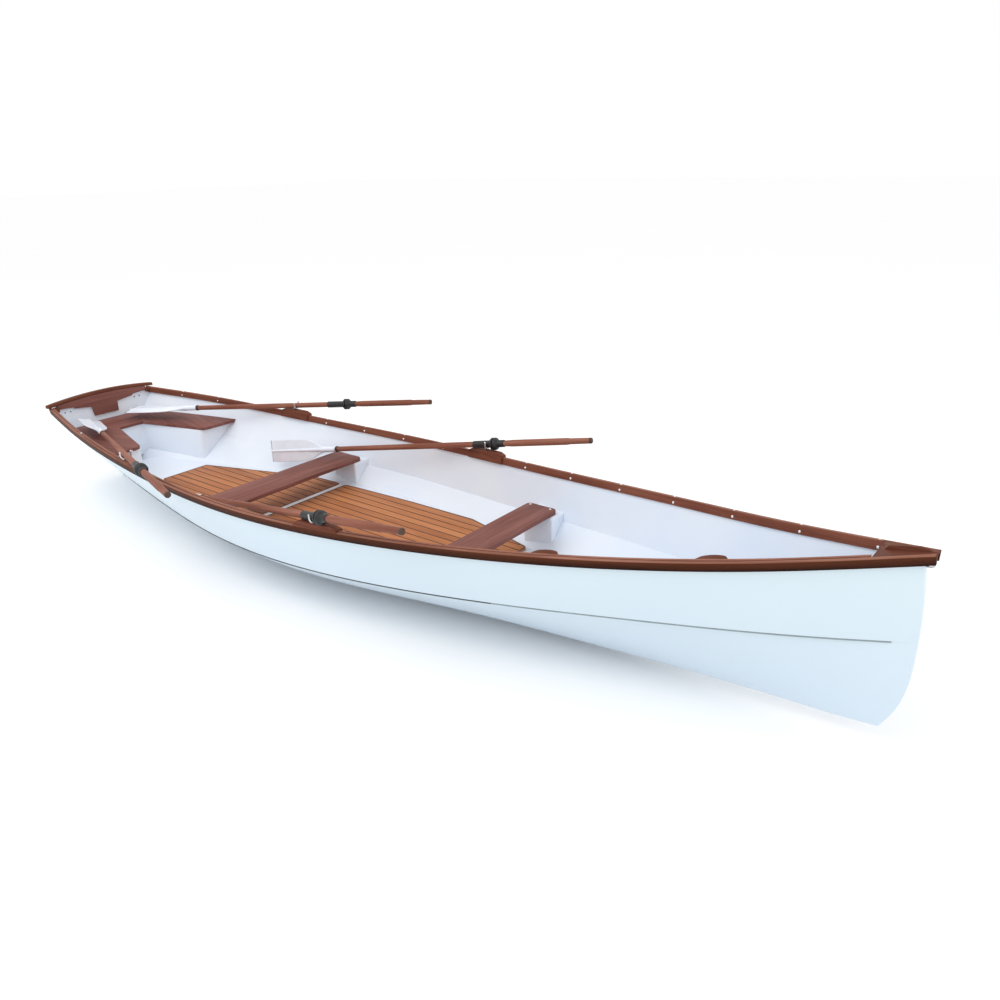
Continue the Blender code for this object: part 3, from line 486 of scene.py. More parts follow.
class Recipe(Tree):
    """A Geometry Nodes tree with named inputs."""

    def __init__(self, name, **inputs):
        self.group = bpy.data.node_groups.new(name, "GeometryNodeTree")
        super().__init__(self.group.nodes, self.group.links)
        sockets = self.group.interface
        sockets.new_socket("Geometry", in_out="OUTPUT", socket_type="NodeSocketGeometry")
        for label, kind in {"Geometry": "Geometry", **inputs, "Finish": "Material"}.items():
            sockets.new_socket(label, in_out="INPUT", socket_type="NodeSocket" + kind)
        self.given = self.nodes.new("NodeGroupInput")

    def take(self, label):
        return Value(self, self.given.outputs[label])

    def read(self, name, kind="FLOAT"):
        return self.node("GeometryNodeInputNamedAttribute", {"data_type": kind}, {"Name": name})

    def store(self, geometry, name, value, kind="FLOAT"):
        settings = {"data_type": kind, "domain": "POINT"}
        values = {"Geometry": geometry, "Name": name, "Value": value}
        return self.node("GeometryNodeStoreNamedAttribute", settings, values)

    def vector(self, x, y, z):
        return self.node("ShaderNodeCombineXYZ", {}, {"X": x, "Y": y, "Z": z})

    def close(self, geometry):
        real = self.node("GeometryNodeRealizeInstances", {}, {"Geometry": geometry})
        dressed = self.node("GeometryNodeSetMaterial", {},
                            {"Geometry": real, "Material": self.take("Finish")})
        self.join(dressed, self.nodes.new("NodeGroupOutput").inputs[0])
        return self

    def on_points(self, piece, **how):
        """Closes the tree with the piece on every point."""
        values = {"Points": self.take("Geometry"), "Instance": piece, **how}
        return self.close(self.node("GeometryNodeInstanceOnPoints", {}, values))

    def grow(self, sizes, base=None):
        """Runs the tree on a mesh, or on an empty one, and gives back the result as a plain mesh."""
        if base is None:
            base = bpy.data.meshes.new(self.group.name)
        carrier = placed(self.group.name, base)
        modifier = carrier.modifiers.new(self.group.name, "NODES")
        modifier.node_group = self.group
        for item in self.group.interface.items_tree:
            if item.in_out == "INPUT" and item.name in sizes:
                modifier[item.identifier] = sizes[item.name]
        return settled(carrier)


def swept_rail():
    """A section carried along a path, with the run along it kept for the grain."""
    recipe = Recipe("swept_rail", Path="Object", Section="Object")
    path, section = (
        recipe.node("GeometryNodeObjectInfo", {}, {"Object": recipe.take(label)}, out="Geometry")
        for label in ("Path", "Section")
    )
    path = recipe.store(path, "run", recipe.node("GeometryNodeSplineParameter", out="Length"))
    section = recipe.store(section, "spot", recipe.node("GeometryNodeInputPosition"), "FLOAT_VECTOR")
    swept = recipe.node("GeometryNodeCurveToMesh", {},
                        {"Curve": path, "Profile Curve": section, "Fill Caps": True})
    spot = recipe.read("spot", "FLOAT_VECTOR")
    grain = recipe.vector(recipe.read("run"), recipe.axis(spot, "X"), recipe.axis(spot, "Y"))
    return recipe.close(recipe.store(swept, "grain", grain, "FLOAT_VECTOR"))


def screw_heads():
    """Domed screw heads on points, each turned to face along its point's own direction."""
    recipe = Recipe("screw_heads", Radius="Float", Height="Float")
    ball = recipe.node("GeometryNodeMeshUVSphere", {}, {"Segments": 14, "Rings": 8, "Radius": 1.0})
    size = recipe.vector(recipe.take("Radius"), recipe.take("Radius"), recipe.take("Height"))
    head = recipe.node("GeometryNodeTransform", {}, {"Geometry": ball, "Scale": size})
    facing = recipe.read("facing", "FLOAT_VECTOR")
    turn = recipe.node("FunctionNodeAlignRotationToVector", {"axis": "Z"}, {"Vector": facing})
    return recipe.on_points(head, Rotation=turn)


def seam_strips():
    """Caulked seams: one thin bar on each point, as long as the point's own span."""
    recipe = Recipe("seam_strips", Width="Float", Height="Float")
    size = recipe.vector(1.0, recipe.take("Width"), recipe.take("Height"))
    strip = recipe.node("GeometryNodeMeshCube", {}, {"Size": size})
    return recipe.on_points(strip, Scale=recipe.vector(recipe.read("span"), 1.0, 1.0))


SWEPT_RAIL = swept_rail()

# Meshes

WELD = 0.00001
FLAT_ANGLE = 0.6
EDGE_ANGLE = 32.0


def placed(name, data):
    thing = bpy.data.objects.new(name, data)
    bpy.context.scene.collection.objects.link(thing)
    return thing


def removed(*things):
    for thing in things:
        bpy.data.objects.remove(thing, do_unlink=True)


def settled(carrier):
    """The object's final shape as a plain mesh, with the object removed."""
    bpy.context.view_layer.update()
    final = carrier.evaluated_get(bpy.context.evaluated_depsgraph_get())
    mesh = bpy.data.meshes.new_from_object(final)
    removed(carrier)
    return mesh


def keep(name, mesh, look, body="boat", nodes=(), sharp=35.0):
    """Puts a finished mesh in the scene on its body, with its look and the nodes it stands for."""
    mesh.materials.clear()
    mesh.materials.append(look)
    mesh.shade_smooth()
    mesh.set_sharp_from_angle(angle=math.radians(sharp))
    piece = placed(name, mesh)
    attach(piece, body)
    if nodes:
        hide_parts(*nodes)


def outward(mesh):
    """The mesh with doubled points merged and its faces turned outward."""
    shape = bmesh.new()
    shape.from_mesh(mesh)
    bmesh.ops.remove_doubles(shape, verts=shape.verts, dist=WELD)
    bmesh.ops.recalc_face_normals(shape, faces=shape.faces)
    shape.to_mesh(mesh)
    shape.free()
    return mesh


def solid(points, faces, inside=()):
    """A closed mesh from points and faces, with the points whose numbers are inside marked."""
    mesh = bpy.data.meshes.new("solid")
    mesh.from_pydata([tuple(p) for p in points], [], faces)
    if inside:
        marked(mesh, "inside", [float(k in inside) for k in range(len(points))], "FLOAT")
    return outward(mesh)


def joined(rings):
    return [point for ring in rings for point in ring]


def skin(rings, start=0, looped=False, closed=False):
    """Faces between neighbouring rings; looped joins the last ring to the first, closed each ring's ends."""
    size, count = len(rings[0]), len(rings)
    faces = []
    for i in range(count if looped else count - 1):
        near, far = start + i * size, start + (i + 1) % count * size
        for k in range(size if closed else size - 1):
            after = (k + 1) % size
            faces.append((near + k, near + after, far + after, far + k))
    return faces


def loft(rings):
    """A closed mesh through rings of equal length, with both ends capped."""
    size = len(rings[0])
    last = (len(rings) - 1) * size
    caps = [tuple(range(size)), tuple(range(last, last + size))]
    return solid(joined(rings), skin(rings, closed=True) + caps)


def lathe(profile, sides=40, closed=False):
    """A turned mesh about local Z from (radius, z) points."""
    rings = []
    for angle in steps(0.0, math.tau, sides)[:-1]:
        rings.append([(r * math.cos(angle), r * math.sin(angle), z) for r, z in profile])
    return solid(joined(rings), skin(rings, looped=True, closed=closed))


def slab(outline, low, high, width):
    """A flat piece with this outline, its edges rounded."""
    return eased(loft([[(p.x, p.y, z) for p in outline] for z in (low, high)]), width)


def moved(mesh, matrix):
    mesh.transform(matrix)
    return mesh


def marked(mesh, name, values, kind="FLOAT_VECTOR"):
    """Keeps one value on each point of the mesh."""
    attribute = mesh.attributes.new(name, kind, "POINT")
    for item, value in zip(attribute.data, values):
        setattr(item, "value" if kind == "FLOAT" else "vector", value)
    return mesh


def grained(mesh, degrees, axis="Z"):
    """Keeps each point's place along, across and through the wood, whose grain is turned from X."""
    back = Matrix.Rotation(math.radians(degrees), 4, axis).inverted()
    return marked(mesh, "grain", [back @ vertex.co for vertex in mesh.vertices])


def merged(node):
    """A merged copy of a CAD node's mesh, with its flat faces whole again."""
    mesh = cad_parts[node].data.copy()
    shape = bmesh.new()
    shape.from_mesh(mesh)
    bmesh.ops.remove_doubles(shape, verts=shape.verts, dist=WELD)
    bmesh.ops.dissolve_limit(shape, angle_limit=math.radians(FLAT_ANGLE), verts=shape.verts,
                             edges=shape.edges)
    shape.to_mesh(mesh)
    shape.free()
    return mesh


def trimmed(mesh, cuts):
    """A piece cut off flat at its ends, with the cuts closed."""
    shape = bmesh.new()
    shape.from_mesh(mesh)
    for spot, ahead in cuts:
        whole = shape.verts[:] + shape.edges[:] + shape.faces[:]
        bmesh.ops.bisect_plane(shape, geom=whole, dist=WELD / 10.0, plane_co=spot, plane_no=ahead,
                               clear_outer=True)
        bmesh.ops.holes_fill(shape, edges=[edge for edge in shape.edges if edge.is_boundary], sides=0)
    shape.to_mesh(mesh)
    shape.free()
    return outward(mesh)


def eased(mesh, width, segments=3):
    """The mesh with its sharp edges rounded."""
    carrier = placed("eased", mesh)
    modifier = carrier.modifiers.new("round", "BEVEL")
    modifier.width = width
    modifier.segments = segments
    modifier.limit_method = "ANGLE"
    modifier.angle_limit = math.radians(EDGE_ANGLE)
    return settled(carrier)


def curve_object(name, points, tilts=None, radii=None, cyclic=False, radius=0.0):
    """A poly curve as an object, for a sweep or as a round bar."""
    curve = bpy.data.curves.new(name, "CURVE")
    curve.dimensions = "3D"
    curve.twist_mode = "MINIMUM" if radius else "Z_UP"
    curve.bevel_depth = radius
    curve.bevel_resolution = 5
    curve.use_fill_caps = radius > 0.0
    line = curve.splines.new("POLY")
    line.points.add(len(points) - 1)
    for k, (point, spot) in enumerate(zip(line.points, points)):
        point.co = (*spot, 1.0)
        point.tilt = tilts[k] if tilts else 0.0
        point.radius = radii[k] if radii else 1.0
    line.use_cyclic_u = cyclic
    return placed(name, curve)


def bar(points, radius, radii=None):
    """A round bar through points as a closed mesh."""
    return outward(settled(curve_object("bar", points, radii=radii, radius=radius)))


def sweep(points, section, look, tilts=None, radii=None, cyclic=False):
    """A flat section carried along a path as a closed mesh."""
    path = curve_object("path", points, tilts, radii, cyclic)
    outline = curve_object("section", [(x, y, 0.0) for x, y in section], cyclic=True)
    mesh = SWEPT_RAIL.grow({"Path": path, "Section": outline, "Finish": look})
    removed(path, outline)
    return outward(mesh)


def rounded(corners, arc=4):
    """Outline through (x, y, radius) corners, with round corners as arcs."""
    outline = []
    count = len(corners)
    for i in range(count):
        x, y, radius = corners[i]
        here = Vector((x, y))
        if radius == 0.0:
            outline.append(here)
            continue
        to_last = (Vector(corners[i - 1][:2]) - here).normalized()
        to_next = (Vector(corners[(i + 1) % count][:2]) - here).normalized()
        half = to_last.angle(to_next) / 2.0
        start = here + to_last * (radius / math.tan(half))
        centre = here + (to_last + to_next).normalized() * (radius / math.sin(half))
        turn = 2.0 * half - math.pi if to_last.cross(to_next) > 0.0 else math.pi - 2.0 * half
        outline += [centre + Matrix.Rotation(angle, 2) @ (start - centre) for angle in steps(0.0, turn, arc)]
    return outline


# Camera and light

VIEW_RIGHT = Vector((0.7902, 0.6125, -0.0230))
VIEW_UP = Vector((-0.2099, 0.3056, 0.9287))
VIEW_AHEAD = Vector((-0.5758, 0.7290, -0.3700))
VIEW_SPOT = Vector((2.9234, -2.7238, 1.8068))
SENSOR = 36.0
FOCAL = 30.991
# The photo's width in pixels, and the pixel that the lens looks at
PHOTO_WIDTH = 1000.0
PHOTO_CENTRE = (496.62, 497.43)
FLOOR_Z = -0.1283
FLOOR_HALF = 60.0


def camera():
    lens = bpy.data.cameras.new("photo_view")
    lens.sensor_width = SENSOR
    lens.lens = FOCAL
    lens.shift_x = (PHOTO_WIDTH / 2.0 - PHOTO_CENTRE[0]) / PHOTO_WIDTH
    lens.shift_y = (PHOTO_CENTRE[1] - PHOTO_WIDTH / 2.0) / PHOTO_WIDTH
    place = Matrix((VIEW_RIGHT, VIEW_UP, -VIEW_AHEAD)).transposed().to_4x4()
    place.translation = VIEW_SPOT
    eye = placed("photo_view", lens)
    eye.matrix_world = place
    bpy.context.scene.camera = eye


# Soft boxes: name, place, aimed at, width, height, watts
SOFT_BOXES = (
    ("key", (-1.5, -3.5, 5.5), (0.0, 0.0, 0.2), 4.0, 4.0, 110.0),
    ("bow_fill", (6.0, -1.0, 3.0), (1.0, 0.0, 0.3), 3.0, 3.0, 25.0),
    ("back_fill", (-1.0, 5.5, 4.0), (0.0, 0.0, 0.2), 4.0, 3.0, 30.0),
)


def lights():
    world = bpy.data.worlds.new("studio")
    bpy.context.scene.world = world
    world.use_nodes = True
    world.node_tree.nodes["Background"].inputs["Color"].default_value = (1.0, 1.0, 1.0, 1.0)
    world.node_tree.nodes["Background"].inputs["Strength"].default_value = 1.0
    for name, spot, goal, width, height, watts in SOFT_BOXES:
        lamp = bpy.data.lights.new(name, "AREA")
        lamp.shape = "RECTANGLE"
        lamp.size = width
        lamp.size_y = height
        lamp.energy = watts
        holder = placed(name, lamp)
        holder.location = spot
        holder.rotation_euler = (Vector(goal) - Vector(spot)).to_track_quat("-Z", "Y").to_euler()


def floor():
    finish = Finish("pale_floor", Roughness=0.9, Specular_IOR_Level=0.0)
    cloud = finish.noise(finish.place(), 0.8, 2.0, 0.5)
    finish.feed(Base_Color=finish.ramp(cloud, (0.3, (0.985, 0.985, 0.985)), (0.7, (0.99, 0.99, 0.99))))
    corners = [(x * FLOOR_HALF, y * FLOOR_HALF, FLOOR_Z) for x, y in ((-1, -1), (1, -1), (1, 1), (-1, 1))]
    mesh = bpy.data.meshes.new("studio_floor")
    mesh.from_pydata(corners, [], [(0, 1, 2, 3)])
    mesh.materials.append(finish.material)
    ground = placed("studio_floor", mesh)


# Hull

def belly(x, half, foot, top):
    """Points of the bottom's curve from the strake in to the keel, equally spaced along it."""
    power = fullness(x)
    dense = []
    for k in range(BELLY_FINE + 1):
        share = 1.0 - k / BELLY_FINE
        if power < 1.0:
            share = share ** (1.0 / power)
        dense.append((KEEL_HALF + (half - KEEL_HALF) * share, foot + (top - foot) * share ** power))
    run = [0.0]
    for a, b in zip(dense, dense[1:]):
        run.append(run[-1] + math.dist(a, b))
    points = []
    k = 0
    for goal in steps(0.0, run[-1], BELLY_POINTS):
        while k < BELLY_FINE - 1 and run[k + 1] < goal:
            k += 1
        share = (goal - run[k]) / (run[k + 1] - run[k])
        points.append(tuple(a + (b - a) * share for a, b in zip(dense[k], dense[k + 1])))
    return points


def half_section(x):
    """Port half of the hull's outer section, from the sheer down to the keel, as (y, z)."""
    height = knuckle_height(x)
    knuckle = half_breadth(x) - knuckle_inset(x)
    side, foot = on_rail(x, HULL_IN, BAND_FOOT)
    bulge = STRAKE_BULGE * (side - knuckle)
    upper = [on_rail(x, HULL_IN, HULL_TOP), (side, foot)]
    for share in STRAKE_SHARES:
        lift = 4.0 * share * (1.0 - share) * bulge
        upper.append((side + (knuckle - side) * share + lift, foot + (height - foot) * share))
    upper.append((knuckle, height))
    return upper + belly(x, knuckle - LAP, keel_height(x), height - LAP_DROP)


def square(a, b):
    """Unit vector square to the run from a to b, on its outer side."""
    run = math.dist(a, b)
    return (b[1] - a[1]) / run, (a[0] - b[0]) / run


def inset(section, distance, plan_stretch):
    """The section moved inward by a distance, measured square to its faces."""
    y, z = section[0]
    result = [(y - distance * plan_stretch, z)]
    full = section + [(-section[-1][0], section[-1][1])]
    for k in range(1, len(section)):
        y, z = section[k]
        above, below = square(full[k - 1], full[k]), square(full[k], full[k + 1])
        scale = distance / (1.0 + above[0] * below[0] + above[1] * below[1])
        spread = plan_stretch if k < UPRIGHT_ROWS else 1.0
        result.append((y + (above[0] + below[0]) * scale * spread, z + (above[1] + below[1]) * scale))
    return result


def mirrored(column):
    """A port column of points with its starboard mirror, as one ring."""
    return list(column) + [Vector((p[0], -p[1], p[2])) for p in reversed(column)]


def stem_heights(last):
    """Height of each row where it meets the stem."""
    heights = [on_rail(STEM[-1][1], HULL_IN, up)[1] for up in (HULL_TOP, BAND_FOOT)]
    for share in STRAKE_SHARES:
        heights.append(heights[1] + (STEM_KNUCKLE - heights[1]) * share)
    heights.append(STEM_KNUCKLE)
    foot = STEM[0][0]
    first = STRAKE_ROW + 1
    for row in range(first, len(last)):
        share = (last[row][1] - last[-1][1]) / (last[first][1] - last[-1][1])
        heights.append(foot + (STEM_KNUCKLE - LAP_DROP - foot) * share)
    return heights


def bow_columns(last):
    """Port points past the last flat section, up to the stem."""
    heights = stem_heights(last)
    faces = [stem_face(min(height, STEM[-1][0])) for height in heights]
    top_half = on_rail(FLAT_END, HULL_IN, 0.0)[0]
    columns = []
    for goal in FAN:
        share = 1.0 if goal is None else (goal - FLAT_END) / (faces[0] - FLAT_END)
        column = []
        for row, (y, z) in enumerate(last):
            up = max(0.0, (heights[row] - heights[STRAKE_ROW]) / (heights[0] - heights[STRAKE_ROW]))
            nose = STEM_HALF + (STEM_TOP_HALF - STEM_HALF) * up
            straight = nose + (y - nose) * (1.0 - share)
            x = FLAT_END + (faces[row] - FLAT_END) * share
            height = z + (heights[row] - z) * share
            if goal is not None:
                full = on_rail(goal, HULL_IN, 0.0)[0] / top_half * y
                straight += (max(full, straight) - straight) * up ** 2
            if goal is not None and row < 2:
                x = goal
                straight, height = on_rail(goal, HULL_IN, (HULL_TOP, BAND_FOOT)[row])
            column.append(Vector((x, straight, height)))
        columns.append(column)
    return columns


def crown_height(y):
    """Top of the hull's transom under its cap."""
    share = 1.0 - (y / CAP_HALF) ** 2
    return RAKE_TOP + (CAP_FOOT + CAP_CROWN * share) / math.hypot(1.0, RAKE) - 2.0 * GAP


def ladder(start, size):
    """Faces across a symmetric ring, from its two top points down to the keel."""
    last = start + size - 1
    return [(start + k, start + k + 1, last - k - 1, last - k) for k in range(size // 2 - 1)]


def smooth_hull():
    stations = [STERN] + steps(STERN_INSIDE, FLAT_END, HULL_STATIONS)
    sections = [half_section(x) for x in stations]
    columns = bow_columns(sections[-1])
    outer = [mirrored([raked(x, y, z) for y, z in section]) for x, section in zip(stations, sections)]
    outer += [mirrored(column) for column in columns]
    inner = []
    for x, section in list(zip(stations, sections))[1:]:
        shrunk = inset(section, SHELL, stretch(x))
        inner.append(mirrored([raked(x, y, z) for y, z in shrunk]))
    for column, x in zip(columns, FAN[:FAN.index(INSIDE_END) + 1]):
        shrunk = inset([(p.y, p.z) for p in column], SHELL, stretch(x))
        inner.append(mirrored([Vector((p.x, y, z)) for p, (y, z) in zip(column, shrunk)]))
    points = joined(outer + inner)
    size = len(outer[0])
    base = len(outer) * size
    faces = skin(outer) + skin(inner, base)
    # The rim between the two skins
    for i in range(len(inner) - 1):
        for k in (0, size - 1):
            a, b = (i + 1) * size + k, base + i * size + k
            faces.append((a, a + size, b + size, b))
    # The ends of both skins, and the deck of the stem past the inner one
    end = base + (len(inner) - 1) * size
    stem = (len(outer) - 1) * size
    faces += ladder(0, size) + ladder(base, size) + ladder(end, size) + ladder(stem, size)
    past = list(range(len(inner) * size, stem + 1, size))
    faces.append((end, *past, *[a + size - 1 for a in reversed(past)], end + size - 1))
    # The transom's crowned top
    crown = len(points)
    spots = steps(CROWN_END, -CROWN_END, CROWN_STEPS)
    for x in (STERN, STERN_INSIDE):
        flat = on_rail(x, HULL_IN, HULL_TOP)[1]
        points.append(raked(x, CROWN_START, flat))
        points += [raked(x, y, crown_height(y)) for y in spots]
        points.append(raked(x, -CROWN_START, flat))
    count = len(spots) + 2
    faces.append((0, *range(crown, crown + count), size - 1))
    faces.append((base, *range(crown + count, crown + 2 * count), base + size - 1))
    for a in range(crown, crown + count - 1):
        faces.append((a, a + 1, a + count + 1, a + count))
    faces.append((0, size, base, crown + count, crown))
    faces.append((size - 1, 2 * size - 1, base + size - 1, crown + 2 * count - 1, crown + count - 1))
    mesh = solid(points, faces, inside=range(base, crown))
    keep("hull", mesh, GELCOAT, nodes=["hull_shell"], sharp=30.0)


# Rails

# Rail sections: corners as inward, up, radius
OUTER_SECTION = (
    (0.0, 0.0, 0.0022),
    (RAIL_WIDTH, 0.0, 0.0008),
    (RAIL_WIDTH, HULL_TOP + GAP, 0.0),
    (RAIL_LIP, HULL_TOP + GAP, 0.0005),
    (RAIL_LIP, RAIL_TOP, 0.0012),
    (0.0, RAIL_TOP, 0.0038),
)
INNER_SECTION = (
    (STRIP_OUT, STRIP_FOOT, 0.0008),
    (STRIP_IN, STRIP_FOOT, 0.0020),
    (STRIP_IN, RAIL_TOP, 0.0026),
    (STRIP_OUT, RAIL_TOP, 0.0012),
)
# Rails: name, section, aft X, forward X
RAILS = (
    ("gunwale_outer", OUTER_SECTION, STERN + 0.0005, NOSE_CUT),
    ("gunwale_inner", INNER_SECTION, STERN_INSIDE + 0.0015, STRIP_BOW),
)
RAIL_STATIONS = 150
# Length that a sweep runs past the cut at its end
PAST_END = 0.030


def rail_path(start, end, sign):
    """Points and tilts along the rail's outer lower edge, run so that the section leans outward."""
    spots = steps(start - PAST_END, end + PAST_END, RAIL_STATIONS)
    if sign > 0:
        spots.reverse()
    points = [raked(x, sign * half_breadth(x), sheer_low(x)) for x in spots]
    return points, [math.radians(lean(x)) for x in spots]


def rails():
    for name, corners, start, end in RAILS:
        cuts = (((start, 0.0, RAKE_TOP), (-1.0, 0.0, -RAKE)), ((end, 0.0, 0.0), (1.0, 0.0, 0.0)))
        section = [(-p.x, -p.y) for p in rounded(corners)]
        for side, sign in SIDES:
            points, tilts = rail_path(start, end, sign)
            node = name + "_" + side
            mesh = trimmed(sweep(points, section, RAIL_WOOD, tilts), cuts)
            keep(node + "_varnished", mesh, RAIL_WOOD, nodes=[node])


OAR_PLACES = tuple(row[0] + "_" + row[1] for row in OARS)
# Varnished boards: nodes, rounding, turn of the grain in degrees, wood
BOARDS = (
    (("thwart_aft", "thwart_forward"), 0.0022, 90.0, BOARD_WOOD),
    (("stern_seat_aft",), 0.0018, 90.0, BOARD_WOOD),
    (("stern_seat_port",), 0.0018, -12.0, BOARD_WOOD),
    (("stern_seat_starboard",), 0.0018, 12.0, BOARD_WOOD),
    (("breasthook",), 0.0014, 0.0, TRIM_WOOD),
    (("gunwale_pad_1", "gunwale_pad_2"), 0.0016, 0.0, TRIM_WOOD),
    (("transom_board",), 0.0016, 90.0, BOARD_WOOD),
    (("transom_cap",), 0.0050, 90.0, TRIM_WOOD),
    (tuple("rowlock_block_" + place for place in OAR_PLACES), 0.0022, 0.0, TRIM_WOOD),
)
BOARD_SHARP = 50.0
# Breasthook's aft corners: X in the solid, X in the photo, least half-breadth that counts as a corner
HOOK_AFT = 2.352
HOOK_CORNER = 2.334
HOOK_HALF = 0.02


def hollowed(mesh):
    """Draws the breasthook's aft corners out along the rails."""
    sides = [on_rail(HOOK_CORNER, RAIL_LIP + GAP, up) for up in (HULL_TOP + GAP, RAIL_TOP)]
    for vertex in mesh.vertices:
        if vertex.co.x < HOOK_AFT + 0.002 and abs(vertex.co.y) > HOOK_HALF:
            half, height = min(sides, key=lambda side: abs(side[1] - vertex.co.z))
            vertex.co = (HOOK_CORNER, math.copysign(half, vertex.co.y), height)
    return mesh


def boards():
    for nodes, width, turn, look in BOARDS:
        for node in nodes:
            mesh = merged(node)
            if node == "breasthook":
                mesh = trimmed(hollowed(mesh), [((NOSE_CUT, 0.0, 0.0), (1.0, 0.0, 0.0))])
            mesh = grained(eased(mesh, width), turn)
            keep(node + "_varnished", mesh, look, nodes=[node], sharp=BOARD_SHARP)


# Corner blocks between transom and rails: aft X, forward X, inner half-breadth, height of the foot, rounding
KNEE = (STERN_INSIDE + 0.0006, -2.462, 0.300, 0.368, 0.0014)
KNEE_DROP = 0.0004


def transom_knees():
    aft, fore, inner, foot, width = KNEE
    for side, sign in SIDES:
        rings = []
        for x in (aft, fore):
            low_side = on_rail(x, STRIP_OUT, foot - sheer_low(x))[0]
            half, top = on_rail(x, STRIP_OUT, RAIL_TOP - KNEE_DROP)
            ring = [(inner, foot), (low_side, foot), (half, top), (inner, top - 0.0006)]
            rings.append([raked(x, sign * y, z) for y, z in ring])
        mesh = grained(eased(loft(rings), width), 90.0)
        keep("transom_knee_" + side, mesh, TRIM_WOOD, sharp=BOARD_SHARP)


# White mouldings: node, rounding, finish, slot
MOULDINGS = (
    ("stern_seat_mould", 0.006, MOULDING, "white_moulding"),
    ("keel_skeg", 0.003, GELCOAT, "white_gelcoat"),
)


def mouldings():
    for node, width, look, slot in MOULDINGS:
        keep(node + "_smooth", eased(merged(node), width, 4), look, nodes=[node], sharp=BOARD_SHARP)
    for node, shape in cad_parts.items():
        if node == "sole" or node.startswith("thwart_pedestal"):
            shape.data.materials.clear()
            shape.data.materials.append(MOULDING)


# Teak panels: half outline as X, half-breadth, corner radius
PANELS = {
    "floor_panel_aft": (
        (-1.652, 0.150, 0.010),
        (-1.155, 0.3165, 0.0),
        (-0.940, 0.3937, 0.0),
        (-0.741, 0.4026, 0.0),
        (-0.697, 0.402, 0.030),
    ),
    "floor_panel_forward": (
        (-0.666, 0.405, 0.030),
        (-0.560, 0.4125, 0.0),
        (-0.150, 0.4300, 0.0),
        (0.270, 0.4323, 0.0),
        (0.702, 0.3165, 0.030),
    ),
}
PANEL_ROUND = 0.0018
SEAM_ROWS = 8
SEAM_WIDTH = 0.0060
SEAM_HEIGHT = 0.0005
SEAM_EDGE = 0.012
SEAM_TRIES = 400
MARGIN_IN = 0.0050
MARGIN_HALF = 0.0040
MARGIN_FOOT = -0.0006
MARGIN_TOP = 0.0004
TEAK_TOP = 0.0476
SOLE_TOP = 0.0373
# White rib between the two panels: aft X, forward X, half-breadth, corner radius, rounding
RIB = (-0.6955, -0.6675, 0.3900, 0.008, 0.0020)
RIB_RISE = 0.0004


def seam_span(outline, y):
    """Aft and forward X between which a seam at this half-breadth runs inside the panel's edge."""
    inside = []
    for x in steps(outline[0][0] + SEAM_EDGE, outline[-1][0] - SEAM_EDGE, SEAM_TRIES):
        for (x0, y0, _), (x1, y1, _) in zip(outline, outline[1:]):
            if x0 <= x <= x1 and y0 + (y1 - y0) * (x - x0) / (x1 - x0) > y + SEAM_EDGE:
                inside.append(x)
    return (inside[0], inside[-1]) if inside else None


def panel_margin(node, ring):
    """Thin dark margin let in round a panel's edge."""
    spots = []
    for k, here in enumerate(ring):
        run = ring[(k + 1) % len(ring)] - ring[k - 1]
        side = Vector((run.y, -run.x)).normalized() * MARGIN_IN
        spots.append((here.x + side.x, here.y + side.y, TEAK_TOP))
    section = ((-MARGIN_HALF, MARGIN_FOOT), (MARGIN_HALF, MARGIN_FOOT), (MARGIN_HALF, MARGIN_TOP),
               (-MARGIN_HALF, MARGIN_TOP))
    keep(node + "_margin", sweep(spots, section, MARGIN, cyclic=True), MARGIN)


def floor_panels():
    recipe = seam_strips()
    for node, outline in PANELS.items():
        ring = rounded(list(outline) + [(x, -y, radius) for x, y, radius in reversed(outline)], 6)
        panel = slab(ring, SOLE_TOP + GAP, TEAK_TOP, PANEL_ROUND)
        keep(node + "_oiled", panel, TEAK, nodes=[node], sharp=BOARD_SHARP)
        spots, spans = [], []
        for k in range(-SEAM_ROWS, SEAM_ROWS + 1):
            span = seam_span(outline, abs(k) * SEAM_PITCH)
            if span:
                spots.append(((span[0] + span[1]) / 2.0, k * SEAM_PITCH, TEAK_TOP))
                spans.append(span[1] - span[0])
        base = bpy.data.meshes.new("seam_points")
        base.from_pydata(spots, [], [])
        marked(base, "span", spans, "FLOAT")
        mesh = recipe.grow({"Width": SEAM_WIDTH, "Height": SEAM_HEIGHT, "Finish": CAULK}, base)
        keep(node + "_seams", outward(mesh), CAULK)
        panel_margin(node, ring)


def floor_rib():
    aft, fore, half, radius, width = RIB
    outline = rounded([(x, y, radius) for x, y in ((aft, -half), (fore, -half), (fore, half), (aft, half))])
    rib = slab(outline, SOLE_TOP + RIB_RISE, TEAK_TOP + RIB_RISE, width)
    keep("floor_rib", rib, RIB_WHITE, sharp=BOARD_SHARP)


# Painted shadow under the upper strake's edge, drawn as a dark bead: half-width, half-height, distance in
# and down from the edge
BEAD_SIZE = (0.0042, 0.0036)
BEAD_IN = 0.0032
BEAD_DROP = 0.0034
# X from which it thins, X where it is thin, share that it loses, least radius, bow columns it runs on to
BEAD_FULL = 0.2
BEAD_THIN = 1.3
BEAD_LOSS = 0.55
BEAD_LEAST = 0.30
BEAD_COLUMNS = 6
# X where the dark painted shadow turns pale
BEAD_TURN = 1.05
BEAD_STATIONS = 90
# Parts of the bead: name, aft X, forward X, finish
BEADS = (
    ("dark", STERN + 0.01, BEAD_TURN, LAP_SHADOW),
    ("pale", BEAD_TURN, FLAT_END, LAP_SHADOW_PALE),
)


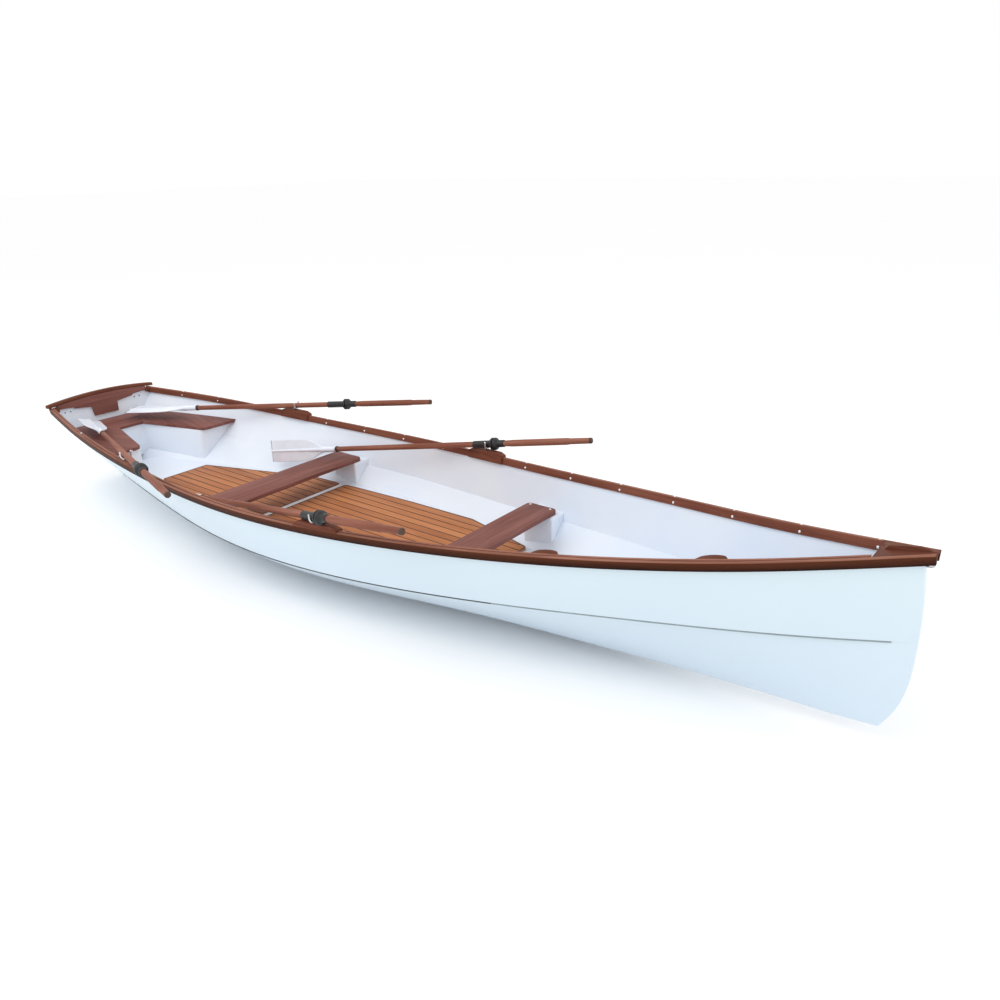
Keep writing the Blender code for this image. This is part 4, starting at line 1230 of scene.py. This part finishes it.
def lap_shadow_strip():
    """Painted shadow: a dark line under the strake's lower edge, thinner and paler towards the bow."""
    wide, high = BEAD_SIZE
    section = [(wide * math.cos(a), high * math.sin(a)) for a in steps(0.0, math.tau, 10)[:-1]]
    for label, start, end, look in BEADS:
        for side, sign in SIDES:
            spots, radii = [], []
            for x in steps(start, end, BEAD_STATIONS):
                y, z = half_breadth(x) - knuckle_inset(x), knuckle_height(x)
                spots.append(raked(x, sign * (y - BEAD_IN), z - BEAD_DROP))
                share = min(1.0, max(0.0, (x - BEAD_FULL) / (BEAD_THIN - BEAD_FULL)))
                radii.append(1.0 - BEAD_LOSS * share)
            if label == "pale":
                for column in bow_columns(half_section(FLAT_END))[:BEAD_COLUMNS]:
                    edge = column[STRAKE_ROW]
                    spots.append(Vector((edge.x, sign * (edge.y - BEAD_IN), edge.z - BEAD_DROP)))
                    radii.append(BEAD_LEAST)
            mesh = sweep(spots, section, look, radii=radii)
            keep("lap_bead_" + label + "_" + side, mesh, look)


# Screws

SCREW_START = -2.19
SCREW_STEP = 0.3048
SCREW_COUNT = 16
SCREW_SIZE = (0.0056, 0.0024)
HOLE_SIZE = (0.0045, 0.0006)
TOP_SCREW_IN = 0.0225
FACE_SCREW_UP = 0.012
MEASURE = 0.002
# Starboard stations whose top screw is bright
STARBOARD_TOP = (1,)
# Single screws: X, Y, Z and the way the head faces
LONE_SCREWS = (
    *((x, y, 0.2290, (0.0, 0.0, 1.0)) for y in (0.410, -0.410) for x in (0.656, 0.772)),
    (-1.700, -0.285, 0.250, (1.0, 0.0, 0.0)),
)
# Drain and fixing holes in the transom, drawn as flat discs of painted shade: Y, Z
HOLES = tuple((-2.4850, y, z, (1.0, 0.0, RAKE)) for y, z in (
    (-0.2600, 0.3502), (-0.2240, 0.3495), (0.2510, 0.3485), (0.2160, 0.3480)))


def screw_spots():
    """Places and directions of the screws: on top of the rail and in the inner strip at each step."""
    spots = []
    x = SCREW_START
    for count in range(SCREW_COUNT):
        tilt = math.radians(lean(x))
        for side, sign in SIDES:
            if sign > 0 or count in STARBOARD_TOP:
                y, z = on_rail(x, TOP_SCREW_IN, RAIL_TOP)
                spots.append((x, sign * y, z, (0.0, sign * math.sin(tilt), math.cos(tilt))))
            y, z = on_rail(x, STRIP_IN, FACE_SCREW_UP)
            if x < STRIP_BOW:
                spots.append((x, sign * y, z, (0.0, -sign * math.cos(tilt), math.sin(tilt))))
        run = 0.0
        while run < SCREW_STEP:
            x += MEASURE
            run += MEASURE * stretch(x)
    return spots + list(LONE_SCREWS)


def studded(recipe, name, spots, size, look):
    """One round head on every spot, as one piece."""
    base = bpy.data.meshes.new(name)
    base.from_pydata([spot[:3] for spot in spots], [], [])
    marked(base, "facing", [spot[3] for spot in spots])
    mesh = recipe.grow({"Radius": size[0], "Height": size[1], "Finish": look}, base)
    keep(name, outward(mesh), look)


def screws():
    recipe = screw_heads()
    studded(recipe, "rail_screws", screw_spots(), SCREW_SIZE, SCREW_STEEL)
    studded(recipe, "transom_holes", HOLES, HOLE_SIZE, HOLE_SHADE)


# Rowlocks and oars

# Horn's side from its tip down: distance out from the bend's radius, share of the leg
HORN_SIDE = ((0.004, 1.0), (0.0012, 0.8), (0.0, 0.5), (0.0, 0.2))
HORN_TIP = 0.70
PIN_EASE = 0.001


def rowlock(label, place):
    """The horn's bar from one tip round to the other, and the pin under it."""
    middle = GAP + BAR_RADIUS + HORN_RADIUS
    side = [(-HORN_RADIUS - out, middle + HORN_LEG * share) for out, share in HORN_SIDE]
    bend = steps(0.0, math.pi, 32)
    arc = [(-HORN_RADIUS * math.cos(a), middle - HORN_RADIUS * math.sin(a)) for a in bend]
    points = [(0.0, y, z) for y, z in side + arc + [(-y, z) for y, z in reversed(side)]]
    radii = [1.0] * len(points)
    radii[0] = radii[-1] = HORN_TIP
    foot, head = -PIN_LENGTH, GAP + BAR_RADIUS * 1.2
    profile = ((0.0, foot), (PIN_RADIUS - PIN_EASE, foot), (PIN_RADIUS, foot + PIN_EASE), (PIN_RADIUS, head),
               (0.0, head))
    made = bmesh.new()
    made.from_mesh(moved(bar(points, BAR_RADIUS, radii), place))
    made.from_mesh(moved(lathe(profile, 28), place))
    both = bpy.data.meshes.new("rowlock")
    made.to_mesh(both)
    made.free()
    keep("rowlock_" + label + "_polished", both, STEEL, "oar_set_" + label, ["rowlock_" + label])


# Turned outlines as radius, distance along the oar: the loom's grip from the oar's end, its shaft from the
# button, its throat from the throat, the sleeve from the button, the ferrule from the throat and the
# grip's cap from the oar's end
LOOM_GRIP = ((0.0, -0.004), (0.0143, -0.004), (0.0145, -0.010), (0.0153, -0.100), (0.0150, -0.115),
             (HANDLE_RADIUS, -0.135))
LOOM_SHAFT = ((HANDLE_RADIUS, 0.110), (LOOM_RADIUS, 0.075), (LOOM_RADIUS, -0.500))
LOOM_THROAT = ((THROAT_RADIUS, 0.0), (0.0, 0.0))
SLEEVE_BORE = LOOM_RADIUS + GAP
SLEEVE_RING = (
    (SLEEVE_BORE, 0.062), (SLEEVE_RADIUS, 0.062), (SLEEVE_RADIUS, 0.030), (0.022, 0.024),
    (BUTTON_RADIUS - 0.004, 0.020), (BUTTON_RADIUS, 0.014), (BUTTON_RADIUS, 0.006), (0.026, 0.004),
    (0.026, 0.001), (BUTTON_RADIUS, -0.001), (BUTTON_RADIUS, -0.009), (BUTTON_RADIUS - 0.006, -0.014),
    (SLEEVE_RADIUS, -0.018), (SLEEVE_RADIUS, -0.120), (SLEEVE_BORE, -0.120),
)
FERRULE_BORE = THROAT_RADIUS + 0.0005
FERRULE_RING = ((FERRULE_BORE, 0.002), (0.0162, 0.002), (0.0168, 0.004), (0.0168, 0.014), (0.0160, 0.016),
                (FERRULE_BORE, 0.016))
GRIP_CAP = ((0.0, -0.0002), (0.0110, -0.0002), (0.0140, -0.0022), (0.0149, -0.0065), (0.0149, -0.0130),
            (0.0142, -0.0140), (0.0, -0.0140))
# Farthest that a button lies from its rowlock with the sleeve still in it
SLEEVE_REACH = 0.12
# Blade sections: distance from the tip, half-width, edge thickness, rib half-width, rib height
BLADE = (
    (0.000, 0.93, 0.0020, 0.007, 0.0060),
    (0.006, 1.00, 0.0022, 0.007, 0.0065),
    (0.120, 1.00, 0.0025, 0.008, 0.0080),
    (0.260, 0.98, 0.0028, 0.009, 0.0100),
    (0.310, 0.82, 0.0030, 0.010, 0.0110),
    (0.350, 0.58, 0.0035, 0.011, 0.0125),
    (0.385, 0.36, 0.0050, 0.012, 0.0140),
)
# Blade's edge: distance in, share of the thickness
BLADE_EDGE = ((0.0, 0.35), (0.0012, 0.8), (0.004, 1.0))
# Rib's foot: share of its half-width, rise over the face; then its round: shares of half-width and height
RIB_FOOT = ((1.25, 0.0), (1.0, 0.0006))
RIB_ROUND = ((0.82, 0.62), (0.48, 0.92))
# Blade's neck: distance from the tip, radius
NECK = ((0.405, 0.0172), (0.440, 0.0160), (BLADE_LENGTH - GAP, 0.0155))
# Band over the tip: distance from the tip, growth over the blade
TIP_BAND = ((0.0002, -0.0004), (0.0006, 0.0004), (0.0080, 0.0004), (0.0084, 0.0001))


def turned(profile, softness=0.0012, sides=40, closed=False):
    """A turned mesh whose outline has its corners cut twice, so that the edges are soft."""
    points = [profile[0]]
    for before, here, after in zip(profile, profile[1:], profile[2:]):
        for other in (before, after):
            share = min(0.4, softness / math.dist(here, other))
            points.append(tuple(a + (b - a) * share for a, b in zip(here, other)))
    return lathe(points + [profile[-1]], sides, closed)


def shifted(profile, start):
    return [(radius, start + along) for radius, along in profile]


def blade_mesh(tip):
    """A flat blade with a round rib on both faces that runs into the neck."""
    rings = []
    for along, width, thick, rib, height in BLADE:
        quarter = [(BLADE_HALF * width - inward, thick * share) for inward, share in BLADE_EDGE]
        quarter += [(rib * share, thick + rise) for share, rise in RIB_FOOT]
        quarter += [(rib * share, height * up) for share, up in RIB_ROUND]
        top = quarter + [(0.0, height)] + [(-y, x) for y, x in reversed(quarter)]
        ring = top + [(-y, -x) for y, x in top]
        rings.append([(x, y, tip + along) for y, x in ring])
    half = len(rings[0]) // 2
    width, thick = BLADE[-1][1:3]
    first = math.atan2(BLADE_EDGE[0][1] * thick, width * BLADE_HALF)
    arc = steps(first, math.pi - first, half - 1)
    for along, radius in NECK:
        angles = arc + [angle + math.pi for angle in arc]
        rings.append([(radius * math.sin(a), radius * math.cos(a), tip + along) for a in angles])
    return loft(rings)


def tip_band(tip):
    """Thin metal band over the blade's tip."""
    (_, narrow, _, _, _), (shoulder, wide, thick, _, _) = BLADE[:2]
    rings = []
    for along, grow in TIP_BAND:
        half = BLADE_HALF * (narrow + (wide - narrow) * min(1.0, along / shoulder)) + grow
        edge = thick + grow
        corners = ((edge, half), (edge, -half), (-edge, -half), (-edge, half))
        rings.append([(x, y, tip + along) for x, y in corners])
    return loft(rings)


def oars():
    for label, (_, side, yaw, pitch, roll, button, x) in zip(OAR_PLACES, OARS):
        yaw, pitch, roll = (math.radians(angle) for angle in (yaw, pitch, roll))
        sign = dict(SIDES)[side]
        inner = on_rail(x, STRIP_IN, RAIL_TOP)[1]
        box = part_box("rowlock_" + label)
        pin = Vector((x, sign * on_rail(x, PIN_IN, RAIL_TOP)[0],
                      max(inner + BLOCK_RISE, box[0][2] + PIN_LENGTH)))
        heading = Matrix.Rotation(yaw, 4, "Z")
        rowlock(label, Matrix.Translation(pin) @ heading)
        radius = SLEEVE_RADIUS if button < SLEEVE_REACH else LOOM_RADIUS
        lift = Vector((0.0, 0.0, GAP + BAR_RADIUS + (BAR_RADIUS + radius + GAP) / math.cos(pitch)))
        turn = heading @ Matrix.Rotation(math.pi / 2 - pitch, 4, "Y")
        axis = Matrix.Translation(pin + lift) @ turn @ Matrix.Rotation(roll, 4, "Z")
        end, throat = button + HANDLE_LENGTH, button - SHAFT_LENGTH
        tip = throat - BLADE_LENGTH
        loom = turned(shifted(LOOM_GRIP, end) + shifted(LOOM_SHAFT, button) + shifted(LOOM_THROAT, throat))
        sleeve = turned(shifted(SLEEVE_RING, button), 0.0009, 48, closed=True)
        # Pieces: name, ending of one that stands for its node, mesh, finish, slot
        pieces = (
            ("loom", "_varnished", grained(loom, 90.0, "Y"), LOOM_WOOD, "loom_wood"),
            ("sleeve", "_black", sleeve, SLEEVE, "black_sleeve"),
            ("blade", "_white", blade_mesh(tip), BLADE_WHITE, "white_blade"),
            ("tip", "", tip_band(tip), STEEL, "stainless"),
            ("ferrule", "", lathe(shifted(FERRULE_RING, throat), closed=True), SLEEVE, "black_sleeve"),
            ("grip_end", "", turned(shifted(GRIP_CAP, end), 0.0008), GRIP_END, "loom_wood"),
        )
        for name, ending, mesh, look, slot in pieces:
            node = "oar_" + name + "_" + label
            keep(node + ending, moved(mesh, axis), look, "oar_set_" + label, [node] if ending else ())


# Bow eye: points of its bar ahead of the stem and above its middle
EYE_HEIGHT = 0.588
EYE_BAR = 0.003
EYE = ((-0.0018, 0.011), (0.008, 0.011), (0.012, 0.0108), (0.018, 0.0092), (0.0225, 0.0055), (0.0245, 0.0),
       (0.0225, -0.0055), (0.018, -0.0092), (0.012, -0.0108), (0.008, -0.011), (0.0, -0.011))


def bow_eye():
    back = stem_face(EYE_HEIGHT + EYE[-1][1] - EYE_BAR) + GAP
    points = [(back + ahead, 0.0, EYE_HEIGHT + up) for ahead, up in EYE]
    keep("bow_eye_bar", bar(points, EYE_BAR), STEEL, nodes=["bow_eye"])


bpy.context.scene.view_settings.view_transform = "Standard"
camera()
lights()
floor()
smooth_hull()
rails()
boards()
transom_knees()
mouldings()
floor_panels()
floor_rib()
lap_shadow_strip()
screws()
oars()
bow_eye()
